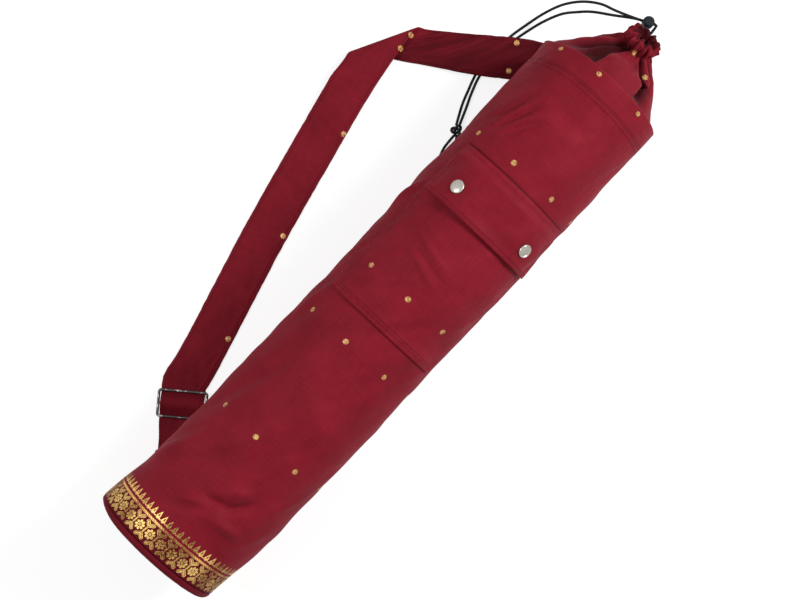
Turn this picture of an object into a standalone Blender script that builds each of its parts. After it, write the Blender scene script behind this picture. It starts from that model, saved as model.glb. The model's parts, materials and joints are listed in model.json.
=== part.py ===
"""Yoga mat bag of sari cloth, closed with its drawcord and lying on its back.

The bag lies along X, its base towards -X and its gathered mouth towards +X. The pocket
faces up, and the shoulder strap lies on the floor on the +Y side. The bag is modelled from
its base seam at x = 0, and an empty then moves it, so that the origin is the middle of the
flat spot that it rests on. All sizes are in metres.
"""

import math

import bmesh
import bpy
from mathutils import Matrix, Vector

# Body: a lined cloth tube on a round base
BODY_RADIUS = 0.075
BODY_LENGTH = 0.637
CLOTH = 0.0016
GAP = 0.0003
FLAT_DROP = 0.0012
SWAY = 0.0085
SWAY_LENGTH = 0.16
ROUND_STEPS = 48
LOCK_STEPS = 28
SNAP_STEPS = 20

# Woven border round the base
BORDER_HEIGHT = 0.0335
BORDER_THICKNESS = 0.0009
LEAF_HEIGHT = 0.0065
LEAF_COUNT = 30
BORDER_STEP = 0.0015

# Base
PIPING_DIAMETER = 0.0044
BASE_THICKNESS = 0.0020
BASE_EDGE_SOFT = 0.0006

# Collar: the turned hem round the top of the body
COLLAR_HEIGHT = 0.0295
COLLAR_WALL = 0.0030
COLLAR_LAP = 0.009

# Gathered throat and its mouth
THROAT_LAP = 0.024
THROAT_CLEARANCE = 0.0008
THROAT_RISE = math.radians(34)
PLEATS = 11
PLEAT_STEPS = 6
RUFFLE_RADIUS = 0.0195
MOUTH_RADIUS = 0.0076
RING_STATION = 0.0880
THROAT_BEND = (0.046, 0.087)
PLEAT_SHARPNESS = 0.8

# Drawcord, its channel and its knot
CORD_DIAMETER = 0.0030
CHANNEL_RADIUS = 0.0140
CHANNEL_CLEARANCE = 0.0004
BUTTONHOLE_LENGTH = 0.020
CORD_STEP = 0.0080
KNOT_DIAMETER = 0.0110
KNOT_SLIM = 0.82
KNOT_SWELL = 0.12
KNOT_TWIST = 500.0
KNOT_PORT_DROP = 0.0010

# Cord lock: a barrel, a sprung plunger and a coil spring
LOCK_HEADING = Vector((-0.439, 0.898, 0.0)).normalized()
LOCK_FROM_EXIT = Vector((0.0128, 0.0098, 0.0))
BARREL_DIAMETER = 0.0124
BARREL_WALL = 0.0019
BARREL_FLOOR = 0.0015
BARREL_ABOVE_CORD = 0.0065
PLUNGER_TRAVEL = 0.0025
PLUNGER_SOLE = 0.0014
BUTTON_HEIGHT = 0.0030
SPRING_ROOM = 0.0054
SPRING_WIRE = 0.0006
SPRING_TURNS = 4
LOCK_TRAVEL = 0.0045
LOCK_EDGE_SOFT = 0.0009
CORD_RUN_IN = 0.0006
CORD_RUN_OUT = 0.0012
CORD_TURN = Vector((0.0080, 0.0, 0.0))
CORD_BEND = Vector((0.0003, 0.0012, 0.0))

# Pocket and its flap, by distance from the base and by angle round the bag from the top
POCKET_BOTTOM = 0.322
POCKET_MOUTH = 0.505
POCKET_MIDDLE = math.radians(-10)
POCKET_HALF_ANGLE = math.radians(64)
POCKET_FULLNESS = 0.0085
FLAP_SEAM = 0.525
FLAP_LENGTH = 0.065
FLAP_HALF_ANGLE = math.radians(60)
FLAP_REST = 0.0026

# Snap fasteners
SNAP_HALF_ANGLE = math.radians(32.4)
SNAP_SHIFT = math.radians(1.7)
SNAP_FROM_FLAP_EDGE = 0.0215
SNAP_CAP_DIAMETER = 0.0150
SNAP_CAP_HEIGHT = 0.0028
SNAP_CAP_RIM = 0.0010
SOCKET_DIAMETER = 0.0118
SOCKET_HEIGHT = 0.0019
STUD_FLANGE_DIAMETER = 0.0108
STUD_FLANGE = 0.0008
STUD_HEAD_DIAMETER = 0.0058
STUD_HEAD_HEIGHT = 0.0015
SNAP_POST_DIAMETER = 0.0032
SNAP_SEAT = 0.0005
SNAP_FLAT_RADIUS = 0.0098
SNAP_SWELL_RADIUS = 0.0316
SNAP_EDGE_SOFT = 0.0005
EYELET_DIAMETER = 0.0086

# Shoulder strap
STRAP_WIDTH = 0.046
STRAP_THICKNESS = 0.0017
STRAP_AT_SLIDER = 0.0435
STRAP_FOLD_RADIUS = 0.0036
STRAP_TAIL = 0.0062
STRAP_TAIL_DROP = 0.0035
STRAP_SQUARE_AT = 0.35
STRAP_APPROACH = 0.010
STRAP_NARROWING = 0.060
STRAP_UNSKEWING = 0.075
STRAP_LANDING = (0.030, 0.140)
CORD_CROSSING = 0.106
CORD_CROSSING_FLAT = 0.015
CORD_CROSSING_REACH = 0.060
STRAP_LANES = 4
STRAP_STEP = 0.019
STRAP_STEP_UNDER = 0.012
TAB_LANES = 4

# Slider, ring and the ring's tab
SLIDER_LENGTH = 0.055
SLIDER_WIDTH = 0.0315
SLIDER_WIRE = 0.0030
SLIDER_CENTRE = Vector((0.1146, 0.0940, 0.0))
SLIDER_HEADING = math.radians(38)
RING_LENGTH = 0.050
RING_WIDTH = 0.0155
RING_WIRE = 0.0026
RING_DISTANCE = 0.052
WIRE_CORNER = 0.9
TAB_WIDTH = 0.040
TAB_WIDTH_AT_SEAM = 0.0344
TAB_TAIL = 0.010
TAB_REACH = 0.055
TAB_FROM_MIDDLE = 0.0410

# Values that follow from the sizes above
AXIS_HEIGHT = BODY_RADIUS - FLAT_DROP
REST_MIDDLE = BODY_LENGTH / 2
COLLAR_TOP = BODY_LENGTH + GAP + COLLAR_HEIGHT
THROAT_START = COLLAR_TOP - THROAT_LAP
THROAT_RADIUS = BODY_RADIUS - COLLAR_WALL - THROAT_CLEARANCE
CORD_RADIUS = CORD_DIAMETER / 2
CORD_STACK = CORD_RADIUS + GAP / 2
CHANNEL_BORE = CORD_RADIUS + CHANNEL_CLEARANCE
FLAP_EDGE = FLAP_SEAM - FLAP_LENGTH
SNAP_X = FLAP_EDGE + SNAP_FROM_FLAP_EDGE
SNAP_MIDDLE = POCKET_MIDDLE + SNAP_SHIFT
SNAP_ANGLES = (SNAP_MIDDLE + SNAP_HALF_ANGLE, SNAP_MIDDLE - SNAP_HALF_ANGLE)
SNAP_SPACE = GAP + STUD_FLANGE + GAP + SOCKET_HEIGHT + SNAP_SEAT
BORDER_SEAT = BORDER_THICKNESS + GAP
STRAP_FLOOR = STRAP_THICKNESS / 2 + 0.00005
STRAP_SECOND = STRAP_FLOOR + STRAP_THICKNESS + GAP
SLIDER_HEIGHT = STRAP_SECOND + STRAP_THICKNESS / 2 + GAP + SLIDER_WIRE / 2
SLIDER_BAR = SLIDER_WIDTH / 2 - SLIDER_WIRE / 2
RING_HEIGHT = STRAP_FLOOR + STRAP_THICKNESS / 2 + GAP + RING_WIRE / 2
RING_BAR = RING_WIDTH / 2 - RING_WIRE / 2

# Route of the strap's middle line over the floor, from the collar to the slider
STRAP_SEAM = Vector((0.6405, 0.0260, 0.0))
STRAP_UNDER = (Vector((0.6500, 0.0590, 0.0)), Vector((0.6040, 0.1275, 0.0)))
STRAP_FOLD = Vector((0.5560, 0.1985, 0.0))
STRAP_FOLD_LINE = Vector((-0.892, 0.452, 0.0)).normalized()
STRAP_RUN = (
    (0.5000, 0.1995), (0.4540, 0.1898), (0.3800, 0.1725), (0.3085, 0.1550),
    (0.2380, 0.1355), (0.1720, 0.1170), (0.1440, 0.1105),
)

# Routes of the free cords, chosen by hand: from the lock round to the knot
STRAND_OUTER_ROUTE = (
    (0.7335, 0.0435, 0.0785), (0.7290, 0.0595, 0.0720), (0.7195, 0.0757, 0.0590),
    (0.7065, 0.0892, 0.0360), (0.6890, 0.0985, 0.0135), (0.6670, 0.1045, 0.0030),
    (0.6455, 0.1085, 0.0017), (0.6180, 0.1100, 0.0017), (0.5940, 0.1080, 0.0017),
    (0.5725, 0.1012, 0.0017), (0.5570, 0.0953, 0.0019),
)
STRAND_INNER_ROUTE = (
    (0.7290, 0.0420, 0.0735), (0.7185, 0.0600, 0.0640), (0.7095, 0.0718, 0.0510),
    (0.6990, 0.0838, 0.0290), (0.6820, 0.0930, 0.0120), (0.6640, 0.0988, 0.0028),
    (0.6440, 0.1030, 0.0017), (0.6180, 0.1055, 0.0017), (0.5940, 0.1035, 0.0017),
    (0.5735, 0.0968, 0.0017), (0.5590, 0.0905, 0.0019),
)
KNOT_CENTRE = Vector((0.5330, 0.0808, 0.0052))
KNOT_HEADING = Vector((-0.86, -0.51, 0.0)).normalized()
TAIL_ROUTES = (
    ((0.5200, 0.0790, 0.0019), (0.5100, 0.0780, 0.0017), (0.5000, 0.0745, 0.0017),
     (0.4910, 0.0685, 0.0017)),
    ((0.5222, 0.0725, 0.0019), (0.5140, 0.0690, 0.0017), (0.5060, 0.0650, 0.0017),
     (0.4990, 0.0590, 0.0017)),
)

COLOURS = {
    "maroon_cloth": ((0.215, 0.014, 0.028, 1.0), 0.55, 0.0),
    "gold_weave": ((0.60, 0.38, 0.10, 1.0), 0.38, 0.6),
    "dark_nickel": ((0.20, 0.18, 0.17, 1.0), 0.32, 1.0),
    "bright_nickel": ((0.52, 0.50, 0.47, 1.0), 0.25, 1.0),
    "black_cord": ((0.010, 0.012, 0.013, 1.0), 0.60, 0.0),
    "grey_plastic": ((0.028, 0.045, 0.055, 1.0), 0.45, 0.0),
    "spring_steel": ((0.55, 0.55, 0.55, 1.0), 0.30, 1.0),
}


def clear_scene():
    """Remove what the file holds, so that only the bag is in it."""
    for thing in list(bpy.data.objects):
        bpy.data.objects.remove(thing, do_unlink=True)


def make_collection(name):
    """Make a collection in the scene."""
    group = bpy.data.collections.new(name)
    bpy.context.scene.collection.children.link(group)
    return group


def material(name):
    """Return the material of that name, made once."""
    found = bpy.data.materials.get(name)
    if found:
        return found
    colour, roughness, metallic = COLOURS[name]
    made = bpy.data.materials.new(name)
    made.use_nodes = True
    shader = made.node_tree.nodes["Principled BSDF"]
    shader.inputs["Base Color"].default_value = colour
    shader.inputs["Roughness"].default_value = roughness
    shader.inputs["Metallic"].default_value = metallic
    made.diffuse_color = colour
    return made


def add_object(name, data, group, finish=None):
    """Link a new object to a collection and give it its material."""
    made = bpy.data.objects.new(name, data)
    group.objects.link(made)
    if finish:
        data.materials.append(material(finish))
    return made


def evaluated_mesh(source, name):
    """Return a mesh of an object with its modifiers, with loose caps welded."""
    bpy.context.view_layer.update()
    graph = bpy.context.evaluated_depsgraph_get()
    mesh = bpy.data.meshes.new_from_object(source.evaluated_get(graph))
    mesh.name = name
    work = bmesh.new()
    work.from_mesh(mesh)
    bmesh.ops.remove_doubles(work, verts=work.verts, dist=0.000002)
    work.to_mesh(mesh)
    work.free()
    return mesh


def smooth(value):
    """Ease from 0 to 1 while the value goes from 0 to 1."""
    held = min(max(value, 0.0), 1.0)
    return held * held * (3.0 - 2.0 * held)


def sway(x):
    """Sideways shift of the bag's axis near its base."""
    if x >= SWAY_LENGTH:
        return 0.0
    return SWAY * (1.0 - max(x, 0.0) / SWAY_LENGTH) ** 2


def on_bag(x, angle, lift):
    """Point on the bag's skin, raised by lift. The angle runs from the top towards +Y.

    The underside is pressed flat where the bag rests, and layers inside it follow.
    """
    radius = BODY_RADIUS + lift
    height = AXIS_HEIGHT + radius * math.cos(angle)
    return Vector((x, sway(x) + radius * math.sin(angle), max(height, -lift)))


def turned(name, profile, steps, group, finish, closed=False, shape=None):
    """Turn a profile of (radius, height) points, which runs down its outer side, round Z.

    Where a shape function is given, each turned point is then moved by it.
    """
    mesh = bpy.data.meshes.new(name)
    edges = [(i, i + 1) for i in range(len(profile) - 1)]
    if closed:
        edges.append((len(profile) - 1, 0))
    mesh.from_pydata([(radius, 0.0, height) for radius, height in profile], edges, [])
    made = add_object(name, mesh, group)
    screw = made.modifiers.new("Turn", "SCREW")
    screw.axis = "Z"
    screw.angle = math.tau
    screw.steps = steps
    screw.render_steps = steps
    screw.use_merge_vertices = True
    screw.merge_threshold = 0.000005
    screw.use_smooth_shade = True
    if shape is None:
        mesh.materials.append(material(finish))
        return made
    formed = evaluated_mesh(made, name)
    bpy.data.objects.remove(made, do_unlink=True)
    bpy.data.meshes.remove(mesh)
    formed.name = name
    for vertex in formed.vertices:
        vertex.co = shape(vertex.co)
    return add_object(name, formed, group, finish)


def wrap_on_bag(point):
    """Take a point turned round Z to the same place on the lying bag."""
    angle = math.atan2(-point.y, point.x)
    return on_bag(point.z, angle, math.hypot(point.x, point.y) - BODY_RADIUS)


def sheet(name, columns, rows, place, thickness, group, finish):
    """Make a sheet from a grid, placed by a function of two values from 0 to 1."""
    mesh = bpy.data.meshes.new(name)
    work = bmesh.new()
    bmesh.ops.create_grid(work, x_segments=columns, y_segments=rows, size=0.5)
    for vertex in work.verts:
        vertex.co = place(vertex.co.x + 0.5, vertex.co.y + 0.5)
    for face in work.faces:
        face.smooth = True
    work.to_mesh(mesh)
    work.free()
    made = add_object(name, mesh, group, finish)
    solid = made.modifiers.new("Thickness", "SOLIDIFY")
    solid.thickness = thickness
    solid.offset = 0.0
    solid.use_even_offset = True
    return made


def cut(target, cutter, title):
    """Cut one object with another, exactly."""
    boolean = target.modifiers.new(title, "BOOLEAN")
    boolean.operation = "DIFFERENCE"
    boolean.solver = "EXACT"
    boolean.object = cutter


def as_cutter(thing):
    """Show a cutter as a wire and keep it out of renders."""
    thing.hide_render = True
    thing.display_type = "WIRE"
    return thing


def catmull(points, step):
    """Return points about one step apart on a smooth curve through the given points."""
    knots = [Vector(point) for point in points]
    ends = [knots[0] * 2 - knots[1]] + knots + [knots[-1] * 2 - knots[-2]]
    path = []
    for i in range(len(knots) - 1):
        before, start, end, after = ends[i:i + 4]
        pieces = max(1, round((end - start).length / step))
        for j in range(pieces):
            t = j / pieces
            path.append(0.5 * (
                2 * start
                + (end - before) * t
                + (2 * before - 5 * start + 4 * end - after) * t ** 2
                + (3 * start - before - 3 * end + after) * t ** 3
            ))
    path.append(knots[-1])
    return path


def tube(name, path, diameter, group, finish, closed=False, sides=2):
    """Make a round tube along a path of points."""
    curve = bpy.data.curves.new(name, "CURVE")
    curve.dimensions = "3D"
    curve.bevel_depth = diameter / 2
    curve.bevel_resolution = sides
    curve.use_fill_caps = not closed
    spline = curve.splines.new("POLY")
    spline.points.add(len(path) - 1)
    for place, point in zip(spline.points, path):
        place.co = (*point, 1.0)
    spline.use_cyclic_u = closed
    return add_object(name, curve, group, finish)


def make_body(group):
    """Body tube, its woven border, the base disc and the piping round it."""
    wall = BODY_RADIUS - CLOTH
    seat = BODY_RADIUS - BORDER_SEAT
    border_top = BORDER_HEIGHT + LEAF_HEIGHT + GAP
    body_profile = (
        (BODY_RADIUS, BODY_LENGTH), (BODY_RADIUS, BODY_LENGTH / 2),
        (BODY_RADIUS, SWAY_LENGTH), (BODY_RADIUS, SWAY_LENGTH / 2),
        (BODY_RADIUS, border_top + BORDER_STEP), (seat, border_top), (seat, GAP),
        (seat - CLOTH, GAP), (seat - CLOTH, border_top), (wall, border_top + CLOTH),
        (wall, SWAY_LENGTH / 2), (wall, SWAY_LENGTH), (wall, BODY_LENGTH),
    )
    turned("body_tube", body_profile, ROUND_STEPS, group, "maroon_cloth", True, wrap_on_bag)

    outer = seat + GAP + BORDER_THICKNESS
    inner = seat + GAP
    border_profile = (
        (outer, BORDER_HEIGHT), (outer, GAP), (inner, GAP), (inner, BORDER_HEIGHT),
    )

    def leafy(point):
        """Raise the border's upper edge into a row of pointed leaves."""
        x = point.z
        angle = math.atan2(-point.y, point.x)
        if x > BORDER_HEIGHT - GAP:
            phase = angle * LEAF_COUNT / 2
            x += LEAF_HEIGHT * abs(math.sin(phase)) ** 1.5
        return on_bag(x, angle, math.hypot(point.x, point.y) - BODY_RADIUS)

    turned("border_band", border_profile, LEAF_COUNT * 4, group, "gold_weave", True, leafy)

    radius = PIPING_DIAMETER / 2
    rim = BODY_RADIUS - GAP - radius
    piping_profile = [
        (rim + radius * math.sin(turn), -radius + radius * math.cos(turn))
        for turn in (math.tau * i / 8 for i in range(8))
    ]
    turned("base_piping", piping_profile, ROUND_STEPS, group, "maroon_cloth", True, wrap_on_bag)

    edge = rim - radius - GAP
    front = -PIPING_DIAMETER - GAP
    disc_profile = (
        (0.0, front + BASE_THICKNESS), (edge, front + BASE_THICKNESS),
        (edge, front + BASE_EDGE_SOFT), (edge - BASE_EDGE_SOFT, front), (0.0, front),
    )
    turned("base_disc", disc_profile, ROUND_STEPS, group, "maroon_cloth", False, wrap_on_bag)


def make_collar(group):
    """Turned hem round the top of the body, lapped inside the body's end."""
    outer = BODY_RADIUS
    inner = BODY_RADIUS - COLLAR_WALL
    lap = BODY_RADIUS - CLOTH - GAP
    rim = COLLAR_WALL / 2
    low = BODY_LENGTH + GAP
    rim_arc = [
        (outer - rim + rim * math.sin(turn), COLLAR_TOP - rim + rim * math.cos(turn))
        for turn in (math.pi * (i / 4 - 0.5) for i in range(5))
    ]
    profile = rim_arc + [
        (outer, low), (lap, low), (lap, low - COLLAR_LAP), (inner, low - COLLAR_LAP),
    ]
    turned("mouth_collar", profile, ROUND_STEPS, group, "maroon_cloth", True, wrap_on_bag)


# Throat stations: distance along its middle line, radius, pleat depth
THROAT_OUTSIDE = (
    (0.0000, THROAT_RADIUS, 0.0), (0.0180, THROAT_RADIUS, 0.0),
    (0.0265, THROAT_RADIUS - 0.0045, 0.0020), (0.0380, 0.0570, 0.0042),
    (0.0520, 0.0465, 0.0055), (0.0640, 0.0370, 0.0056), (0.0735, 0.0260, 0.0042),
    (0.0790, 0.0185, 0.0024), (0.0830, 0.0182, 0.0022),
    (RING_STATION, RUFFLE_RADIUS, 0.0024), (0.0925, RUFFLE_RADIUS - 0.0010, 0.0024),
    (0.0950, 0.0150, 0.0018),
)
THROAT_INSIDE = (
    (0.0945, MOUTH_RADIUS + 0.0024, 0.0008), (RING_STATION, MOUTH_RADIUS, 0.0003),
    (0.0825, MOUTH_RADIUS, 0.0003), (0.0765, 0.0140, 0.0026),
    (0.0640, 0.0330, 0.0052), (0.0520, 0.0446, 0.0055), (0.0380, 0.0552, 0.0042),
    (0.0265, THROAT_RADIUS - 0.0045 - CLOTH, 0.0020), (0.0170, THROAT_RADIUS - CLOTH, 0.0),
    (0.0000, THROAT_RADIUS - CLOTH, 0.0),
)


def throat_middle(distance):
    """Middle line of the throat and its tilt, at a distance along it."""
    steps = 40
    tilt = 0.0
    x = THROAT_START
    z = AXIS_HEIGHT
    first, last = THROAT_BEND
    for i in range(steps):
        tilt = THROAT_RISE * smooth((distance * (i + 0.5) / steps - first) / (last - first))
        x += math.cos(tilt) * distance / steps
        z += math.sin(tilt) * distance / steps
    tilt = THROAT_RISE * smooth((distance - first) / (last - first))
    return Vector((x, 0.0, z)), tilt


def throat_point(distance, angle, radius, flat=FLAT_DROP):
    """Point of the throat at a distance, an angle from the top and a radius."""
    middle, tilt = throat_middle(distance)
    up = max(radius * math.cos(angle), flat - radius)
    side = radius * math.sin(angle)
    return middle + Vector((-math.sin(tilt) * up, side, math.cos(tilt) * up))


def make_throat(group, cutters):
    """Gathered throat with a drawcord channel and a buttonhole, and the cord inside."""
    stations = THROAT_OUTSIDE + THROAT_INSIDE
    ordered = list(reversed(stations))
    depths = {}
    for distance, radius, depth in stations:
        depths[(round(distance, 5), round(radius, 5))] = depth

    def gathered(point):
        """Carry a turned point to the bent middle line and press its pleats in."""
        angle = math.atan2(-point.y, point.x)
        radius = math.hypot(point.x, point.y)
        depth = depths[(round(point.z, 5), round(radius, 5))]
        crest = 2.0 * abs(math.cos(angle * PLEATS / 2)) ** PLEAT_SHARPNESS - 1.0
        return throat_point(point.z, angle, radius + depth * crest)

    profile = [(radius, distance) for distance, radius, _ in ordered]
    throat = turned(
        "gathered_throat", profile, PLEATS * PLEAT_STEPS, group, "maroon_cloth", True, gathered
    )

    ring_steps = 32
    ring = [
        throat_point(RING_STATION, math.tau * i / ring_steps, CHANNEL_RADIUS, -1.0)
        for i in range(ring_steps)
    ]
    channel_curve = tube("channel_curve", ring, CHANNEL_BORE * 2, cutters, None, closed=True)
    channel = add_object("channel_cutter", evaluated_mesh(channel_curve, "channel"), cutters)
    bpy.data.objects.remove(channel_curve, do_unlink=True)
    cut(throat, as_cutter(channel), "Channel")

    low = throat_point(RING_STATION, math.pi, CHANNEL_RADIUS, -1.0)
    buttonhole = stadium(
        2 * CHANNEL_BORE, 2 * (CHANNEL_BORE + CORD_STACK), BUTTONHOLE_LENGTH, "buttonhole_cutter",
        low + Vector((BUTTONHOLE_LENGTH / 2 - CORD_RADIUS, 0, 0)), Vector((1, 0, 0)), cutters,
    )
    cut(throat, buttonhole, "Buttonhole")

    open_angle = (CORD_DIAMETER + GAP) / CHANNEL_RADIUS
    loop_steps = 26
    loop = [
        throat_point(
            RING_STATION,
            math.pi + open_angle + (math.tau - 2 * open_angle) * i / loop_steps,
            CHANNEL_RADIUS, -1.0,
        )
        for i in range(loop_steps + 1)
    ]
    tube("drawcord_loop", loop, CORD_DIAMETER, group, "black_cord")
    return low


def knot_port(side, end):
    """Where a cord meets the knot: left or right of its middle, behind or ahead of it."""
    left = Vector((0, 0, 1)).cross(KNOT_HEADING) * -side * CORD_STACK
    along = KNOT_HEADING * end * (KNOT_DIAMETER / 2 + GAP / 2)
    return KNOT_CENTRE + along + left - Vector((0, 0, KNOT_PORT_DROP))


def make_cords(group, exit_point):
    """The two free strands, the knot that joins them and their two tails."""
    centre = exit_point + LOCK_FROM_EXIT
    before = centre - LOCK_HEADING * (BARREL_DIAMETER / 2 + CORD_RUN_IN)
    after = centre + LOCK_HEADING * (BARREL_DIAMETER / 2 + LOCK_TRAVEL + CORD_RUN_OUT)
    for name, side, route in (
        ("cord_strand_outer", 1, STRAND_OUTER_ROUTE),
        ("cord_strand_inner", -1, STRAND_INNER_ROUTE),
    ):
        lift = Vector((0.0, 0.0, side * CORD_STACK))
        bend = Vector((before.x, exit_point.y, exit_point.z)) + CORD_BEND
        head = [exit_point, exit_point + CORD_TURN, bend, before, centre, after]
        free = [Vector(point) for point in route]
        path = catmull([p + lift for p in head] + free + [knot_port(side, -1)], CORD_STEP)
        tube(name, path, CORD_DIAMETER, group, "black_cord")

    bpy.ops.mesh.primitive_uv_sphere_add(
        segments=20, ring_count=10, radius=KNOT_DIAMETER / 2, location=KNOT_CENTRE,
        rotation=(0.0, 0.0, math.atan2(KNOT_HEADING.y, KNOT_HEADING.x)),
    )
    knot = bpy.context.object
    knot.name = "cord_knot"
    knot.data.name = "cord_knot"
    knot.users_collection[0].objects.unlink(knot)
    group.objects.link(knot)
    for vertex in knot.data.vertices:
        turn = math.atan2(vertex.co.z, vertex.co.y)
        swell = 1.0 + KNOT_SWELL * math.cos(3 * turn + vertex.co.x * KNOT_TWIST)
        vertex.co.y *= KNOT_SLIM * swell
        vertex.co.z *= KNOT_SLIM * swell
    knot.data.shade_smooth()
    knot.data.materials.append(material("black_cord"))

    for i, (side, route) in enumerate(zip((1, -1), TAIL_ROUTES)):
        path = catmull([knot_port(side, 1)] + [Vector(p) for p in route], CORD_STEP)
        tube(f"cord_tail_{i + 1}", path, CORD_DIAMETER, group, "black_cord")


def stadium(width, height, depth, name, centre, heading, group):
    """Cutter with a slot section: round ends above and below, and flat sides."""
    curve = bpy.data.curves.new(name, "CURVE")
    curve.dimensions = "2D"
    curve.fill_mode = "BOTH"
    curve.extrude = depth / 2
    spline = curve.splines.new("POLY")
    radius = width / 2
    reach = height / 2 - radius
    corners = []
    for i in range(8):
        turn = math.pi * i / 7
        corners.append((radius * math.cos(turn), reach + radius * math.sin(turn)))
    for i in range(8):
        turn = math.pi * (1 + i / 7)
        corners.append((radius * math.cos(turn), -reach + radius * math.sin(turn)))
    spline.points.add(len(corners) - 1)
    for place, corner in zip(spline.points, corners):
        place.co = (corner[0], corner[1], 0.0, 1.0)
    spline.use_cyclic_u = True
    flat = add_object(name, curve, group)
    mesh = evaluated_mesh(flat, name)
    bpy.data.objects.remove(flat, do_unlink=True)
    made = add_object(name, mesh, group)
    side = Vector((0, 0, 1)).cross(heading)
    turn = Matrix((side, Vector((0, 0, 1)), side.cross(Vector((0, 0, 1))))).transposed()
    made.matrix_world = Matrix.Translation(centre) @ turn.to_4x4()
    return as_cutter(made)


def make_lock(group, cutters, exit_point):
    """Barrel, plunger and spring of the cord lock, round the two stacked cords."""
    centre = exit_point + LOCK_FROM_EXIT
    outer = BARREL_DIAMETER / 2
    bore = outer - BARREL_WALL
    stem = bore - GAP
    slot_half = CORD_STACK + CORD_RADIUS + GAP
    sole = -slot_half - PLUNGER_SOLE
    floor = sole - SPRING_ROOM
    bottom = floor - BARREL_FLOOR
    top = BARREL_ABOVE_CORD
    soft = LOCK_EDGE_SOFT
    barrel_profile = (
        (0.0, floor), (bore, floor), (bore, top), (outer - soft, top), (outer, top - soft),
        (outer, bottom + soft), (outer - soft, bottom), (0.0, bottom),
    )
    barrel = turned("lock_barrel", barrel_profile, LOCK_STEPS, group, "grey_plastic")
    barrel.location = centre
    width = CORD_DIAMETER + 2 * GAP
    hole = stadium(
        width, 2 * slot_half, BARREL_DIAMETER * 1.5, "barrel_hole_cutter",
        centre, LOCK_HEADING, cutters,
    )
    cut(barrel, hole, "Cord hole")

    button_low = top + PLUNGER_TRAVEL + GAP
    button_top = button_low + BUTTON_HEIGHT
    plunger_profile = (
        (0.0, button_top), (outer - 2 * soft, button_top), (outer - soft, button_top - soft),
        (outer - soft, button_low), (stem, button_low), (stem, sole), (0.0, sole),
    )
    plunger = turned("lock_plunger", plunger_profile, LOCK_STEPS, group, "grey_plastic")
    plunger.location = centre
    slot = stadium(
        width, 2 * slot_half + PLUNGER_TRAVEL, BARREL_DIAMETER * 1.5, "plunger_slot_cutter",
        centre + Vector((0, 0, PLUNGER_TRAVEL / 2)), LOCK_HEADING, cutters,
    )
    cut(plunger, slot, "Cord slot")

    coil = stem - SPRING_WIRE
    start = floor + GAP + SPRING_WIRE / 2
    end = sole - GAP - SPRING_WIRE / 2
    per_turn = 12
    points = [
        centre + Vector((
            coil * math.cos(math.tau * i / per_turn),
            coil * math.sin(math.tau * i / per_turn),
            start + (end - start) * i / (SPRING_TURNS * per_turn),
        ))
        for i in range(SPRING_TURNS * per_turn + 1)
    ]
    tube("lock_spring", points, SPRING_WIRE, group, "spring_steel", sides=1)


def fullness(x, angle):
    """How far the pocket stands off the bag."""
    across = (angle - POCKET_MIDDLE) / POCKET_HALF_ANGLE
    rise = smooth((x - POCKET_BOTTOM) / (POCKET_MOUTH - POCKET_BOTTOM) * 2.0)
    return POCKET_FULLNESS * rise * max(0.0, 1.0 - across ** 2)


def pocket_lift(x, angle):
    """Middle of the pocket's cloth, measured from the bag's skin."""
    return GAP + CLOTH / 2 + fullness(x, angle)


def flap_lift(x, angle):
    """Middle of the flap's cloth: over the pocket, swelling over the closed snaps."""
    rest_end = POCKET_MOUTH + FLAP_REST
    past_mouth = smooth((x - rest_end) / (FLAP_SEAM - rest_end))
    over = CLOTH + GAP + fullness(min(x, POCKET_MOUTH), angle)
    swell = 0.0
    for snap in SNAP_ANGLES:
        along = x - SNAP_X
        across = (angle - snap) * BODY_RADIUS
        inside = SNAP_SWELL_RADIUS - math.hypot(along, across)
        swell = max(swell, smooth(inside / (SNAP_SWELL_RADIUS - SNAP_FLAT_RADIUS)))
    space = GAP + (SNAP_SPACE - GAP) * swell
    return GAP + CLOTH / 2 + (over + space - GAP) * (1.0 - past_mouth)


def snap_frame(lift, angle):
    """Place and axes at a snap, with Z out of the cloth."""
    reach = 0.004
    here = on_bag(SNAP_X, angle, lift(SNAP_X, angle))
    along = on_bag(SNAP_X + reach, angle, lift(SNAP_X + reach, angle)) - on_bag(
        SNAP_X - reach, angle, lift(SNAP_X - reach, angle)
    )
    turn = reach / BODY_RADIUS
    across = on_bag(SNAP_X, angle + turn, lift(SNAP_X, angle + turn)) - on_bag(
        SNAP_X, angle - turn, lift(SNAP_X, angle - turn)
    )
    outward = along.cross(across).normalized()
    if outward.z < 0:
        outward = -outward
    third = outward.cross(along).normalized()
    frame = Matrix((third.cross(outward), third, outward)).transposed().to_4x4()
    return Matrix.Translation(here) @ frame


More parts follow.
